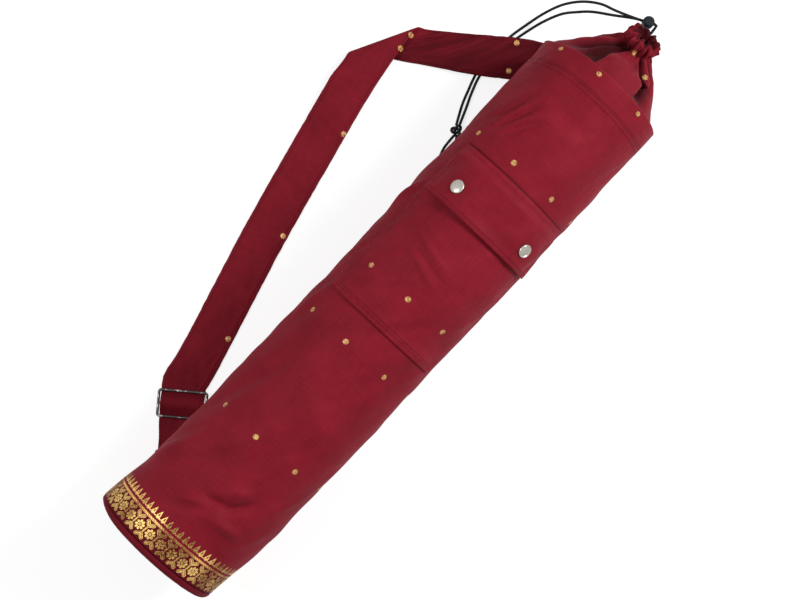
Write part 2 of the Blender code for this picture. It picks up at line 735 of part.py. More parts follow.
def make_pocket(group, cutters):
    """Pocket, flap and the two snap fasteners that close it."""
    def pouch_place(u, v):
        x = POCKET_BOTTOM + (POCKET_MOUTH - POCKET_BOTTOM) * u
        angle = POCKET_MIDDLE + POCKET_HALF_ANGLE * (2 * v - 1)
        return on_bag(x, angle, pocket_lift(x, angle))

    def flap_place(u, v):
        x = FLAP_EDGE + FLAP_LENGTH * u
        angle = POCKET_MIDDLE + FLAP_HALF_ANGLE * (2 * v - 1)
        return on_bag(x, angle, flap_lift(x, angle))

    pouch = sheet("pocket_pouch", 8, 20, pouch_place, CLOTH, group, "maroon_cloth")
    flap = sheet("pocket_flap", 9, 20, flap_place, CLOTH, group, "maroon_cloth")

    post = SNAP_POST_DIAMETER / 2
    hole = post + GAP
    for i, angle in enumerate(SNAP_ANGLES):
        number = i + 1
        frame = snap_frame(pocket_lift, angle)
        base = CLOTH / 2 + GAP
        head = STUD_HEAD_DIAMETER / 2
        flange = STUD_FLANGE_DIAMETER / 2
        soft = SNAP_EDGE_SOFT
        flange_top = base + STUD_FLANGE
        head_top = flange_top + STUD_HEAD_HEIGHT
        post_end = -CLOTH / 2 - GAP - SNAP_SEAT
        stud_profile = (
            (0.0, head_top), (head - soft, head_top), (head, head_top - soft),
            (head - soft, flange_top), (flange, flange_top), (flange, base), (post, base),
            (post, post_end), (0.0, post_end),
        )
        stud = turned(f"snap_stud_{number}", stud_profile, SNAP_STEPS, group, "bright_nickel")
        stud.matrix_world = frame

        low = flange_top + GAP
        high = low + SOCKET_HEIGHT
        socket_bore = head + GAP
        half = SOCKET_DIAMETER / 2
        socket_profile = (
            (socket_bore, high), (half - soft, high), (half, high - soft), (half, low),
            (socket_bore, low),
        )
        socket = turned(
            f"snap_socket_{number}", socket_profile, SNAP_STEPS, group, "bright_nickel", True
        )
        socket.matrix_world = frame

        eyelet_top = -CLOTH / 2 - SNAP_SEAT
        eyelet_low = eyelet_top - STUD_FLANGE
        eyelet_rim = EYELET_DIAMETER / 2
        eyelet_profile = (
            (hole, eyelet_top), (eyelet_rim, eyelet_top), (eyelet_rim, eyelet_low),
            (hole, eyelet_low),
        )
        eyelet = turned(
            f"snap_eyelet_{number}", eyelet_profile, SNAP_STEPS, group, "bright_nickel", True
        )
        eyelet.matrix_world = frame

        cap_base = high + SNAP_SEAT + CLOTH + GAP
        dome = SNAP_CAP_DIAMETER / 2
        cap_profile = [
            (dome * math.sin(turn), cap_base + SNAP_CAP_RIM
             + (SNAP_CAP_HEIGHT - SNAP_CAP_RIM) * math.cos(turn))
            for turn in (math.pi / 2 * j / 4 for j in range(5))
        ]
        cap_profile += [
            (dome, cap_base), (post, cap_base), (post, head_top + GAP), (0.0, head_top + GAP),
        ]
        cap = turned(f"snap_cap_{number}", cap_profile, SNAP_STEPS, group, "bright_nickel")
        cap.matrix_world = frame

        for target, label in ((pouch, "pouch"), (flap, "flap")):
            bpy.ops.mesh.primitive_cylinder_add(vertices=12, radius=hole, depth=0.005)
            bore = bpy.context.object
            bore.name = f"{label}_hole_cutter_{number}"
            bore.users_collection[0].objects.unlink(bore)
            cutters.objects.link(bore)
            middle = 0.0 if label == "pouch" else cap_base - GAP - CLOTH / 2
            bore.matrix_world = frame @ Matrix.Translation((0, 0, middle))
            cut(target, as_cutter(bore), f"Snap hole {number}")


def underside(y, lift=0.0):
    """Height of the bag's underside over the floor, at a distance from its axis."""
    radius = BODY_RADIUS + lift
    if abs(y) >= radius:
        return AXIS_HEIGHT
    return max(AXIS_HEIGHT - math.sqrt(radius ** 2 - y ** 2), -lift)


def slider_line():
    """Direction of the strap through the slider, and the direction across it."""
    along = Vector((-math.cos(SLIDER_HEADING), -math.sin(SLIDER_HEADING), 0.0))
    return along, Vector((along.y, -along.x, 0.0))


def strap_to_fold(heading, fold_ruling):
    """Middles and half rulings of the strap from the collar seam to its fold.

    On the way it lies over the two cords.
    """
    half = STRAP_WIDTH / 2
    seam_ruling = Vector((1.0, 0.0, 0.0)) * half / abs(heading.y)
    square_ruling = Vector((heading.y, -heading.x, 0.0)) * half
    path = catmull([STRAP_SEAM, *STRAP_UNDER, STRAP_FOLD], STRAP_STEP_UNDER)
    rulings = []
    for i, middle in enumerate(path):
        t = i / (len(path) - 1)
        if t < STRAP_SQUARE_AT:
            ruling = seam_ruling.lerp(square_ruling, smooth(t / STRAP_SQUARE_AT))
        else:
            past = (t - STRAP_SQUARE_AT) / (1.0 - STRAP_SQUARE_AT)
            ruling = square_ruling.lerp(fold_ruling, smooth(past))
        inside = CORD_CROSSING_REACH - abs(middle.y - CORD_CROSSING)
        over_cord = smooth(inside / (CORD_CROSSING_REACH - CORD_CROSSING_FLAT))
        middle.z = STRAP_FLOOR + (CORD_DIAMETER + 3 * GAP) * over_cord
        rulings.append((middle, ruling))
    return rulings


def make_strap(group):
    """One sewn band: from the collar, over its fold, through the slider and the ring."""
    heading = (STRAP_FOLD - STRAP_SEAM).normalized()
    fold_skew = abs(heading.cross(STRAP_FOLD_LINE).z)
    fold_ruling = -STRAP_FOLD_LINE * STRAP_WIDTH / 2 / fold_skew
    rulings = strap_to_fold(heading, fold_ruling)
    across = Vector((-STRAP_FOLD_LINE.y, STRAP_FOLD_LINE.x, 0.0))
    if across.dot(heading) < 0:
        across = -across
    drift = math.pi * STRAP_FOLD_RADIUS * STRAP_FOLD_LINE.dot(heading) / fold_skew
    low = rulings[-1][0].z
    arc = 6
    for i in range(1, arc + 1):
        turn = math.pi * i / arc
        middle = STRAP_FOLD + across * STRAP_FOLD_RADIUS * math.sin(turn)
        middle += STRAP_FOLD_LINE * drift * i / arc
        middle.z = low + STRAP_FOLD_RADIUS * (1.0 - math.cos(turn))
        rulings.append((middle, fold_ruling.copy()))

    along, side = slider_line()
    start = rulings[-1][0]
    entry = SLIDER_CENTRE - along * SLIDER_BAR
    route = [(start.x, start.y, 0.0)] + [(x, y, 0.0) for x, y in STRAP_RUN]
    route += [entry - along * STRAP_APPROACH, entry]
    path = catmull(route, STRAP_STEP)
    top = start.z
    leave, land = STRAP_LANDING
    travelled = 0.0
    for i in range(1, len(path)):
        travelled += (path[i] - path[i - 1]).length
        after = path[min(i + 1, len(path) - 1)]
        ahead = (after - path[i - 1]).normalized()
        square = Vector((-ahead.y, ahead.x, 0.0))
        if square.dot(fold_ruling) < 0:
            square = -square
        left = (entry - path[i]).length
        narrowing = smooth(1.0 - left / STRAP_NARROWING)
        width = STRAP_WIDTH + (STRAP_AT_SLIDER - STRAP_WIDTH) * narrowing
        skewed = 1.0 - smooth(travelled / STRAP_UNSKEWING)
        ruling = (square * width / 2).lerp(fold_ruling, skewed)
        landed = smooth((travelled - leave) / (land - leave))
        point = path[i].copy()
        point.z = top + (STRAP_FLOOR - top) * landed
        rulings.append((point, ruling))

    turn_ruling = side * STRAP_AT_SLIDER / 2
    if turn_ruling.dot(rulings[-1][1]) < 0:
        turn_ruling = -turn_ruling
    for distance, height in slider_profile():
        point = SLIDER_CENTRE + along * distance
        point.z = height
        rulings.append((point, turn_ruling.copy()))

    rows = []
    for middle, ruling in rulings:
        row = []
        for lane in range(STRAP_LANES + 1):
            share = 2.0 * lane / STRAP_LANES - 1.0
            point = middle + ruling * share
            if point.x > BODY_LENGTH / 2 and point.y < BODY_RADIUS:
                clear = underside(point.y, STRAP_THICKNESS / 2 + 1.5 * GAP)
                point.z = max(min(point.z, clear), STRAP_FLOOR)
            row.append(point)
        rows.append(row)
    band("shoulder_strap", rows, STRAP_THICKNESS, group)


def band(name, rows, thickness, group):
    """Make a sewn band of cloth from rows of points across it."""
    mesh = bpy.data.meshes.new(name)
    work = bmesh.new()
    placed = [[work.verts.new(point) for point in row] for row in rows]
    for near, far in zip(placed, placed[1:]):
        for lane in range(len(near) - 1):
            face = work.faces.new((near[lane], near[lane + 1], far[lane + 1], far[lane]))
            face.smooth = True
    work.to_mesh(mesh)
    work.free()
    made = add_object(name, mesh, group, "maroon_cloth")
    solid = made.modifiers.new("Thickness", "SOLIDIFY")
    solid.thickness = thickness
    solid.offset = 0.0


def slider_profile():
    """Side view of the strap from the slider's first bar to its sewn end.

    Each point is a distance along the strap from the slider's centre bar, and a height.
    """
    hump = SLIDER_HEIGHT + SLIDER_WIRE / 2 + 2 * GAP + STRAP_THICKNESS * 1.5
    points = []
    for i in range(1, 9):
        t = i / 8
        points.append((-SLIDER_BAR * (1 - t), STRAP_FLOOR + (hump - STRAP_FLOOR)
                       * (1 - math.cos(math.pi * t)) / 2))
    for i in range(1, 9):
        t = i / 8
        points.append((SLIDER_BAR * t, STRAP_SECOND + (hump - STRAP_SECOND)
                       * (1 + math.cos(math.pi * t)) / 2))
    wrap = RING_WIRE / 2 + GAP + STRAP_THICKNESS / 2
    ring_top = RING_HEIGHT + wrap
    for i in range(1, 7):
        t = i / 6
        points.append((SLIDER_BAR + (RING_DISTANCE - SLIDER_BAR) * t,
                       STRAP_SECOND + (ring_top - STRAP_SECOND) * smooth(t * 1.4 - 0.4)))
    for i in range(1, 9):
        turn = math.pi * i / 8
        points.append((RING_DISTANCE + wrap * math.sin(turn), RING_HEIGHT + wrap * math.cos(turn)))
    loop = SLIDER_WIRE / 2 + GAP + STRAP_THICKNESS / 2
    loop_low = SLIDER_HEIGHT - loop
    for i in range(1, 8):
        t = i / 7
        height = STRAP_FLOOR + (loop_low - STRAP_FLOOR) * smooth(t * 3.0 - 2.0)
        points.append((RING_DISTANCE * (1 - t), height))
    for i in range(1, 9):
        turn = math.pi * i / 8
        points.append((-loop * math.sin(turn), SLIDER_HEIGHT - loop * math.cos(turn)))
    loop_top = SLIDER_HEIGHT + loop
    for i in range(1, 5):
        t = i / 4
        points.append((STRAP_TAIL * t, loop_top - STRAP_TAIL_DROP * smooth(t)))
    return points


def wire_frame(name, length, width, wire, centre, cross_bar, group, finish):
    """Rectangular loop of wire with round corners, with or without a bar across."""
    corner = wire * WIRE_CORNER
    x = width / 2 - wire / 2
    y = length / 2 - wire / 2
    path = []
    for cx, cy, first in ((x, y, 0.0), (-x, y, 0.5), (-x, -y, 1.0), (x, -y, 1.5)):
        inner_x = math.copysign(x - corner, cx)
        inner_y = math.copysign(y - corner, cy)
        for i in range(4):
            turn = math.pi * (first + i / 6)
            path.append((inner_x + corner * math.cos(turn), inner_y + corner * math.sin(turn), 0.0))
    along, _ = slider_line()
    loop = tube(name, path, wire, group, None, closed=True)
    mesh = evaluated_mesh(loop, name)
    bpy.data.objects.remove(loop, do_unlink=True)
    made = add_object(name, mesh, group, finish)
    turn = Matrix((along, Vector((0, 0, 1)).cross(along), Vector((0, 0, 1)))).transposed()
    made.matrix_world = Matrix.Translation(centre) @ turn.to_4x4()
    for face in mesh.polygons:
        face.use_smooth = True
    if cross_bar:
        bpy.ops.mesh.primitive_cylinder_add(vertices=8, radius=wire / 2, depth=2 * y)
        bar = bpy.context.object
        bar.name = f"{name}_bar"
        bar.users_collection[0].objects.unlink(bar)
        cross_bar.objects.link(bar)
        bar.matrix_world = made.matrix_world @ Matrix.Rotation(math.pi / 2, 4, "X")
        join = made.modifiers.new("Centre bar", "BOOLEAN")
        join.operation = "UNION"
        join.solver = "EXACT"
        join.object = as_cutter(bar)
    return made


def make_hardware(group, cutters):
    """Slider on the strap, ring under the bag, and the tab that holds the ring."""
    along, side = slider_line()
    centre = SLIDER_CENTRE + Vector((0, 0, SLIDER_HEIGHT))
    wire_frame(
        "strap_slider", SLIDER_LENGTH, SLIDER_WIDTH, SLIDER_WIRE, centre, cutters,
        group, "dark_nickel",
    )
    ring_centre = SLIDER_CENTRE + along * (RING_DISTANCE + RING_BAR)
    ring_centre.z = RING_HEIGHT
    wire_frame(
        "strap_ring", RING_LENGTH, RING_WIDTH, RING_WIRE, ring_centre, None,
        group, "dark_nickel",
    )

    bar = ring_centre + along * RING_BAR
    wrap = RING_WIRE / 2 + GAP + CLOTH / 2
    ruling = side * TAB_WIDTH / 2
    seam_x = PIPING_DIAMETER
    rulings = []
    tail = 4
    for i in range(tail, 0, -1):
        point = bar + along * (TAB_TAIL * i / tail)
        point.z = RING_HEIGHT - wrap
        rulings.append((point, ruling, 0.0))
    for i in range(9):
        turn = math.pi * i / 8
        point = bar - along * wrap * math.sin(turn)
        point.z = RING_HEIGHT - wrap * math.cos(turn)
        rulings.append((point, ruling, 0.0))
    seam = Vector((seam_x, sway(seam_x) + TAB_FROM_MIDDLE, 0.0))
    seam_ruling = Vector((0.0, 1.0, 0.0)) * TAB_WIDTH_AT_SEAM / 2
    if seam_ruling.dot(ruling) < 0:
        seam_ruling = -seam_ruling
    first = rulings[-1][0].copy()
    count = 12
    for i in range(1, count + 1):
        t = i / count
        straight = first + along * (TAB_REACH * t)
        ending = seam + Vector((TAB_REACH * (1 - t), 0.0, 0.0))
        point = straight.lerp(ending, smooth(t))
        point.z = first.z
        rulings.append((point, ruling.lerp(seam_ruling, smooth(t)), smooth(t * 1.5 - 0.25)))

    rows = []
    lanes = TAB_LANES
    for middle, reach, seated in rulings:
        row = []
        for lane in range(lanes + 1):
            point = middle + reach * (2.0 * lane / lanes - 1.0)
            roof = underside(point.y - sway(point.x), CLOTH / 2 + 1.5 * GAP)
            point.z += (roof - point.z) * seated
            point.z = min(point.z, roof)
            point.z = max(point.z, CLOTH / 2 + 0.00005)
            row.append(point)
        rows.append(row)
    band("ring_tab", rows, CLOTH, group)


def build():
    """Build the whole bag."""
    clear_scene()
    group = make_collection("yoga_mat_bag")
    cutters = make_collection("cutters")
    make_body(group)
    make_collar(group)
    exit_point = make_throat(group, cutters)
    make_cords(group, exit_point)
    make_lock(group, cutters, exit_point)
    make_pocket(group, cutters)
    make_strap(group)
    make_hardware(group, cutters)

    frame = bpy.data.objects.new("rest_middle", None)
    group.objects.link(frame)
    frame.location.x = -REST_MIDDLE
    for thing in list(group.objects) + list(cutters.objects):
        if thing is not frame:
            thing.parent = frame


build()
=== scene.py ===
"""Yoga mat bag of maroon sari cloth, as seen from straight above.

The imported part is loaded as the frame. The cloth, cords and fittings that show are made here
as computed surfaces on it, each by an operator of this add-on. All sizes are in metres, in
the part's frame: the bag lies along X, the strap lies on the +Y side, and Z is up.
"""

import json
import math

import bpy
import numpy as np
from mathutils import Matrix, Vector
from mathutils.bvhtree import BVHTree
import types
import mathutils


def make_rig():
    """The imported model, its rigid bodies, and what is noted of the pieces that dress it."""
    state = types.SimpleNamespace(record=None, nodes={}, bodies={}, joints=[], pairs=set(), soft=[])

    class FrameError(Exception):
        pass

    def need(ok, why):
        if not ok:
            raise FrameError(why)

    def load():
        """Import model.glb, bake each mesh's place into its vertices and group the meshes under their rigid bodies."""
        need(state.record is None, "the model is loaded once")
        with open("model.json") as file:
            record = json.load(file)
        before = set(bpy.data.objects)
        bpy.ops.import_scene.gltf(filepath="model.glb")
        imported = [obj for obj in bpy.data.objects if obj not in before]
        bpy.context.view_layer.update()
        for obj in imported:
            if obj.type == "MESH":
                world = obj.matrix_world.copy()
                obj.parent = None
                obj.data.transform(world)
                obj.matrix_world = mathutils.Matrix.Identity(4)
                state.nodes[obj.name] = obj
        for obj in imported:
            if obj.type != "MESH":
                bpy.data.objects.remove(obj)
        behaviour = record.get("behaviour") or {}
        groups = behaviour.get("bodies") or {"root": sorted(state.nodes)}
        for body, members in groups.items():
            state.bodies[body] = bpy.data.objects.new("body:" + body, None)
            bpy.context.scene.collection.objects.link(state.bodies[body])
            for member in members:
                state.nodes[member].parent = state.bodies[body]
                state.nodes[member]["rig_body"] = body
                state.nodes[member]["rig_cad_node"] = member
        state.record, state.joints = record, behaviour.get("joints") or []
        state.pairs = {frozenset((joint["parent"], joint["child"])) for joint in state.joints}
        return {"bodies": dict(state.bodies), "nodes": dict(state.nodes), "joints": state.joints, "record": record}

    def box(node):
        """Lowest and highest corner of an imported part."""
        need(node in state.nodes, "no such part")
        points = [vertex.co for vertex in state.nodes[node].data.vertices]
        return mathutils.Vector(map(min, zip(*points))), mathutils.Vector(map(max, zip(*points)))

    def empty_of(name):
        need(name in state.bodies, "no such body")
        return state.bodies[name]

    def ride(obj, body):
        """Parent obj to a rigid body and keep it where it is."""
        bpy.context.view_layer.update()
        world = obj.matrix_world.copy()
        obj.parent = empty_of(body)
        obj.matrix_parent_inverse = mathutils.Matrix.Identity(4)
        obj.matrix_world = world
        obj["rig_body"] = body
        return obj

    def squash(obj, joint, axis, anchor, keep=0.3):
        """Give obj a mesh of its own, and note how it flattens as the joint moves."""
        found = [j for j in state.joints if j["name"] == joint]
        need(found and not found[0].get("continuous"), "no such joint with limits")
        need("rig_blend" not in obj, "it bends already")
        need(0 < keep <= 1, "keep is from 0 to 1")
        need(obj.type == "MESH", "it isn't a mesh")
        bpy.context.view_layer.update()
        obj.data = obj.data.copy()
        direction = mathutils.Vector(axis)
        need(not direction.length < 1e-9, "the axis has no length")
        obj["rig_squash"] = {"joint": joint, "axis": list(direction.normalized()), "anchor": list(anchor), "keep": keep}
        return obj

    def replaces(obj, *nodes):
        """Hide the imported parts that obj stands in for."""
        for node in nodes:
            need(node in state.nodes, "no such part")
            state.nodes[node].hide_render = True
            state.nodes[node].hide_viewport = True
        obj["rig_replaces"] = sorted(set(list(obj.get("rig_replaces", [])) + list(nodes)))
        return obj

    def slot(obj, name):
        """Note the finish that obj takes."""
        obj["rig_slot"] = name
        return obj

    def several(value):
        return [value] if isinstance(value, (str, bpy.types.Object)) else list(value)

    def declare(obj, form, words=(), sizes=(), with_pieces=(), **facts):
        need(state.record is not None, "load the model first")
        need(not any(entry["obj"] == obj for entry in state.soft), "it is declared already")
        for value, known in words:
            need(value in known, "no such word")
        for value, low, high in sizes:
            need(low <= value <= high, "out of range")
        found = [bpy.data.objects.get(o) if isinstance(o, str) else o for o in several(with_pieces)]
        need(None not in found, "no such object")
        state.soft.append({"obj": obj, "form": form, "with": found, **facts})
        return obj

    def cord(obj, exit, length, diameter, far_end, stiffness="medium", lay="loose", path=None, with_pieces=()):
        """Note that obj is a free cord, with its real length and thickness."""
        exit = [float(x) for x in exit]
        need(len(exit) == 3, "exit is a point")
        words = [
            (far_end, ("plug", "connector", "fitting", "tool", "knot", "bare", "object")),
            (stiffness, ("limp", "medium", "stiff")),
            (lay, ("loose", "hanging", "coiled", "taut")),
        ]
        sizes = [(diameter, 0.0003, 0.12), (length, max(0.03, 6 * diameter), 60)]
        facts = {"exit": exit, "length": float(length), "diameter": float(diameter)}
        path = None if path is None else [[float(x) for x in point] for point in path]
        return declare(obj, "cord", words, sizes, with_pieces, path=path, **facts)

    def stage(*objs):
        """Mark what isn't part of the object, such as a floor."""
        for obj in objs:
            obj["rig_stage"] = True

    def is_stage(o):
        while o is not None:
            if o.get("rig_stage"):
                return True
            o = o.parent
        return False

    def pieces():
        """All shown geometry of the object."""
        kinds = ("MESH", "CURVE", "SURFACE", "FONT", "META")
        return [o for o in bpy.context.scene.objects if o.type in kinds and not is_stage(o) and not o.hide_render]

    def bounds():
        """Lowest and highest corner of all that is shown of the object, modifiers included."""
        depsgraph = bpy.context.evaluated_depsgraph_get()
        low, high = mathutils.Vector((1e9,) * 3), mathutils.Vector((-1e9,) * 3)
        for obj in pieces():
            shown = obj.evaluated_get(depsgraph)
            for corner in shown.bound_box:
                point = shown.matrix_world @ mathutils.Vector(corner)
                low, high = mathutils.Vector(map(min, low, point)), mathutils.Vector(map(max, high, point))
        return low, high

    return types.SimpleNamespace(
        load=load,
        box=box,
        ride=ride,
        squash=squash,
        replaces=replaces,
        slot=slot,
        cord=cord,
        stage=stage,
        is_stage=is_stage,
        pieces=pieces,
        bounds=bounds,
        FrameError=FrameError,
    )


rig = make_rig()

bl_info = {
    "name": "Yoga mat bag",
    "version": (1, 0, 0),
    "blender": (4, 5, 0),
    "location": "3D View > Sidebar > Yoga mat bag",
    "description": "Builds the visible cloth, cords and fittings of a yoga mat bag",
    "category": "Object",
}

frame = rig.load()
CAD_BOX = [list(corner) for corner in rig.bounds()]

# Where the base seam is, and the layers of cloth
SEAM_X = -0.3185
CLOTH = 0.0016
GAP = 0.0003
FLOOR_CLEAR = 0.0002
AXIS_DROP = 0.0012
SWAY = 0.0085
SWAY_LENGTH = 0.16

# Woven border: middle of the flower row, pitch of its flowers, and the lines above it
FLOWER_ROW = 0.0125
FLOWER_PITCH = 0.0152
FLOWER_SHIFT = 0.29
LINE_AT = 0.0252
LEAF_AT = 0.0310

# Woven dots: rows along the bag, and columns round it, from the top towards +Y
DOT_ROWS = (0.1564, 0.2894, 0.4134, 0.5387)
DOT_COLUMN = 0.0110
DOT_PITCH = 0.0563
COLLAR_DOT_ROW = 0.6610
COLLAR_DOTS = (0.0639, 0.0099, -0.0504)
POCKET_DOT_ROW = 0.3640
POCKET_DOTS = (0.0466, -0.0052, -0.0568)
THROAT_DOTS = ((0.7117, -0.0020), (0.7011, -0.0270))
DOT_DOME = 0.00025

# Folds seen on the body: distance along, arc round, heading, half length, width and height
FOLDS = (
    (0.200, 0.0640, 2.75, 0.100, 0.0120, -2.2), (0.105, 0.0330, 2.55, 0.060, 0.0110, -2.2),
    (0.090, 0.0740, 2.45, 0.045, 0.0090, 1.8), (0.150, 0.0120, 2.90, 0.055, 0.0130, 1.4),
    (0.080, -0.0080, 1.90, 0.030, 0.0055, -1.9), (0.090, -0.0300, 2.60, 0.026, 0.0055, -1.8),
    (0.066, -0.0350, 1.70, 0.028, 0.0055, 1.6), (0.066, 0.0120, 2.30, 0.026, 0.0055, 1.5),
    (0.103, -0.0200, 2.00, 0.020, 0.0070, 1.1), (0.574, 0.0460, 2.71, 0.032, 0.0042, -1.6),
    (0.583, 0.0560, 2.75, 0.028, 0.0040, -1.3), (0.572, 0.0300, 2.55, 0.032, 0.0042, -1.3),
    (0.578, 0.0510, 2.73, 0.030, 0.0035, 1.1), (0.573, 0.0380, 2.62, 0.030, 0.0035, 1.0),
    (0.606, -0.0050, 1.75, 0.040, 0.0100, -1.1), (0.560, -0.0350, 2.20, 0.050, 0.0120, 0.9),
    (0.270, -0.0150, 2.95, 0.060, 0.0120, -0.9), (0.235, -0.0480, 2.80, 0.050, 0.0100, 0.8),
    (0.300, 0.0800, 2.80, 0.050, 0.0080, 1.2), (0.445, 0.0900, 2.60, 0.040, 0.0060, 1.6),
    (0.416, 0.0100, 1.33, 0.036, 0.0036, 0.60), (0.404, 0.0060, 1.42, 0.034, 0.0036, -0.55),
    (0.394, 0.0000, 1.25, 0.030, 0.0036, 0.55), (0.360, 0.0300, 2.30, 0.040, 0.0060, 0.8),
)

# Pocket and flap, as on the part
POCKET_BOTTOM = 0.322
POCKET_MOUTH = 0.505
POCKET_MIDDLE = math.radians(-10)
POCKET_HALF = math.radians(64)
POCKET_FULLNESS = 0.0085
FLAP_SEAM = 0.525
FLAP_EDGE = 0.460
FLAP_HALF = math.radians(60)
SNAP_X = 0.4815
SNAP_MIDDLE = POCKET_MIDDLE + math.radians(1.7)
SNAP_ANGLES = (SNAP_MIDDLE + math.radians(32.4), SNAP_MIDDLE - math.radians(32.4))
SNAP_STACK = 0.0035

# Collar and throat
BODY_END = 0.6370
COLLAR_TOP = 0.6668
COLLAR_WALL = 0.0030
THROAT_START = 0.6428
THROAT_RISE = math.radians(34)
THROAT_BEND = (0.046, 0.087)

# Strap and its fittings
STRAP_THICKNESS = 0.0017
STRAP_AT_SLIDER = 0.0474
STRAP_AT_RING = 0.0435
STRAP_FOLD_RADIUS = 0.0036
STRAP_SEAM = Vector((0.6405, 0.0260, 0.0))
STRAP_UNDER = (Vector((0.6500, 0.0590, 0.0)), Vector((0.6040, 0.1275, 0.0)))
STRAP_FOLD = Vector((0.5560, 0.1985, 0.0))
STRAP_FOLD_LINE = Vector((-0.892, 0.452, 0.0)).normalized()
STRAP_RUN = (
    (0.5000, 0.1995), (0.4540, 0.1898), (0.3800, 0.1725), (0.3085, 0.1550),
    (0.2380, 0.1355), (0.1720, 0.1170), (0.1440, 0.1105),
)
SLIDER_CENTRE = Vector((0.1146, 0.0940, 0.0))
SLIDER_HEADING = math.radians(38)
SLIDER_SIZE = (0.055, 0.0315, 0.0030)
RING_SIZE = (0.050, 0.0155, 0.0026)
RING_DISTANCE = 0.052
STRAP_STEP_UNDER = 0.0030
STRAP_STEP = 0.0040
STRAP_SQUARE_AT = 0.35
STRAP_APPROACH = 0.010
STRAP_NARROWING = 0.060
STRAP_UNSKEWING = 0.075
STRAP_LANDING = (0.030, 0.110)
STRAP_TAIL = 0.0062
STRAP_TAIL_DROP = 0.0035
STRAP_DOTS = (
    (0.3218, 0.1394), (0.2000, 0.1064), (0.4468, 0.1672), (0.5745, 0.1874),
    (0.6466, 0.0984), (0.6187, 0.0840), (0.5561, 0.1857),
)

# Where the strap lies over the cords: its middle, half reach, ramp and rise
CORD_CROSSING = 0.106
CORD_CROSSING_REACH = 0.060
CORD_CROSSING_RAMP = 0.045
CORD_CROSSING_RISE = 0.0039

# Spring of the cord lock
SPRING_WIRE = 0.0006
SPRING_TURNS = 4
PLUNGER_TRAVEL = 0.0025

# Threads: lengths of a stitch, of the border line's twist and of the cord's braid
STITCH_LENGTH = 0.0030
TWIST_LENGTH = 0.0030
BRAID_LENGTH = 0.0044

# Finish shared by the cloth and its gold
CLOTH_ROUGHNESS = 0.60
CLOTH_SHEEN = 0.06
GOLD_METALLIC = 0.35

# Camera, lights (place, size, power), ground and surround
CAMERA_LENS = 100.8
CAMERA_PLACE = (0.358 + SEAM_X, 0.0, 2.425)
CAMERA_TURN = math.atan2(-0.728, 0.685)
KEY_LIGHT = ("key", (1.6, -0.9, 1.5), 0.7, 44.0)
FILL_LIGHT = ("fill", (-0.7, 1.3, 1.9), 0.9, 20.0)
GROUND_HALF = 6.0
GROUND_LIT = (0.85, 0.85, 0.85, 1.0)
GROUND_SHOWN = (0.36, 0.36, 0.36, 1.0)
GROUND_GLOW = 0.76
SURROUND_LIGHT = 0.32
SURROUND_SHOWN = 0.73
WHITE = (1.0, 1.0, 1.0, 1.0)

# Cords: from the mouth through the lock and round to the knot
CORD_STACK = 0.00165
LOCK_HEADING = Vector((-0.439, 0.898, 0.0)).normalized()
LOCK_FROM_EXIT = Vector((0.0128, 0.0098, 0.0))
OUTER_ROUTE = (
    (0.7335, 0.0435, 0.0785), (0.7290, 0.0595, 0.0720), (0.7195, 0.0757, 0.0590),
    (0.7065, 0.0892, 0.0360), (0.6890, 0.0985, 0.0135), (0.6670, 0.1045, 0.0030),
    (0.6455, 0.1085, 0.0017), (0.6180, 0.1100, 0.0017), (0.5940, 0.1080, 0.0017),
    (0.5725, 0.1012, 0.0017), (0.5570, 0.0953, 0.0019),
)
INNER_ROUTE = (
    (0.7290, 0.0420, 0.0735), (0.7185, 0.0600, 0.0640), (0.7095, 0.0718, 0.0510),
    (0.6990, 0.0838, 0.0290), (0.6820, 0.0930, 0.0120), (0.6640, 0.0988, 0.0028),
    (0.6440, 0.1030, 0.0017), (0.6180, 0.1055, 0.0017), (0.5940, 0.1035, 0.0017),
    (0.5735, 0.0968, 0.0017), (0.5590, 0.0905, 0.0019),
)
KNOT_CENTRE = Vector((0.5330, 0.0808, 0.0052))
KNOT_HEADING = Vector((-0.86, -0.51, 0.0)).normalized()
KNOT_LENGTH = 0.0110
TAIL_ROUTES = (
    ((0.5200, 0.0790, 0.0019), (0.5100, 0.0780, 0.0017), (0.5000, 0.0745, 0.0017),
     (0.4910, 0.0685, 0.0017)),
    ((0.5222, 0.0725, 0.0019), (0.5140, 0.0690, 0.0017), (0.5060, 0.0650, 0.0017),
     (0.4990, 0.0590, 0.0017)),
)


def length_property(name, description, default, low, high):
    """A length in metres, with its limits."""
    return bpy.props.FloatProperty(
        name=name, description=description, default=default, min=low, max=high, unit="LENGTH",
    )


def colour_property(name, description, default):
    """A colour."""
    return bpy.props.FloatVectorProperty(
        name=name, description=description, default=default, min=0.0, max=1.0, subtype="COLOR",
    )


class BagSizes(bpy.types.PropertyGroup):
    """Sizes of the bag's visible pieces."""

    body_radius: length_property(
        "Body radius", "Radius of the filled bag", 0.075, 0.05, 0.12,
    )
    crease_depth: length_property(
        "Crease depth", "Height of the soft creases in the body's cloth", 0.0026, 0.0, 0.004,
    )
    pleat_depth: length_property(
        "Pleat depth", "Depth of the throat's deepest pleat", 0.0165, 0.0, 0.02,
    )
    ruffle_depth: length_property(
        "Ruffle depth", "Height of the bunches round the mouth", 0.0032, 0.0, 0.006,
    )
    strap_width: length_property(
        "Strap width", "Width of the shoulder strap", 0.046, 0.02, 0.08,
    )
    strap_crease: length_property(
        "Strap crease", "Height of the creases in the strap", 0.0022, 0.0, 0.003,
    )
    dot_diameter: length_property(
        "Dot diameter", "Diameter of a woven gold dot", 0.0068, 0.002, 0.015,
    )
    cord_diameter: length_property(
        "Cord diameter", "Diameter of the round braided drawcord", 0.0030, 0.001, 0.006,
    )
    stitch_from_edge: length_property(
        "Stitch distance", "Distance of the top stitching from an edge", 0.0040, 0.001, 0.01,
    )


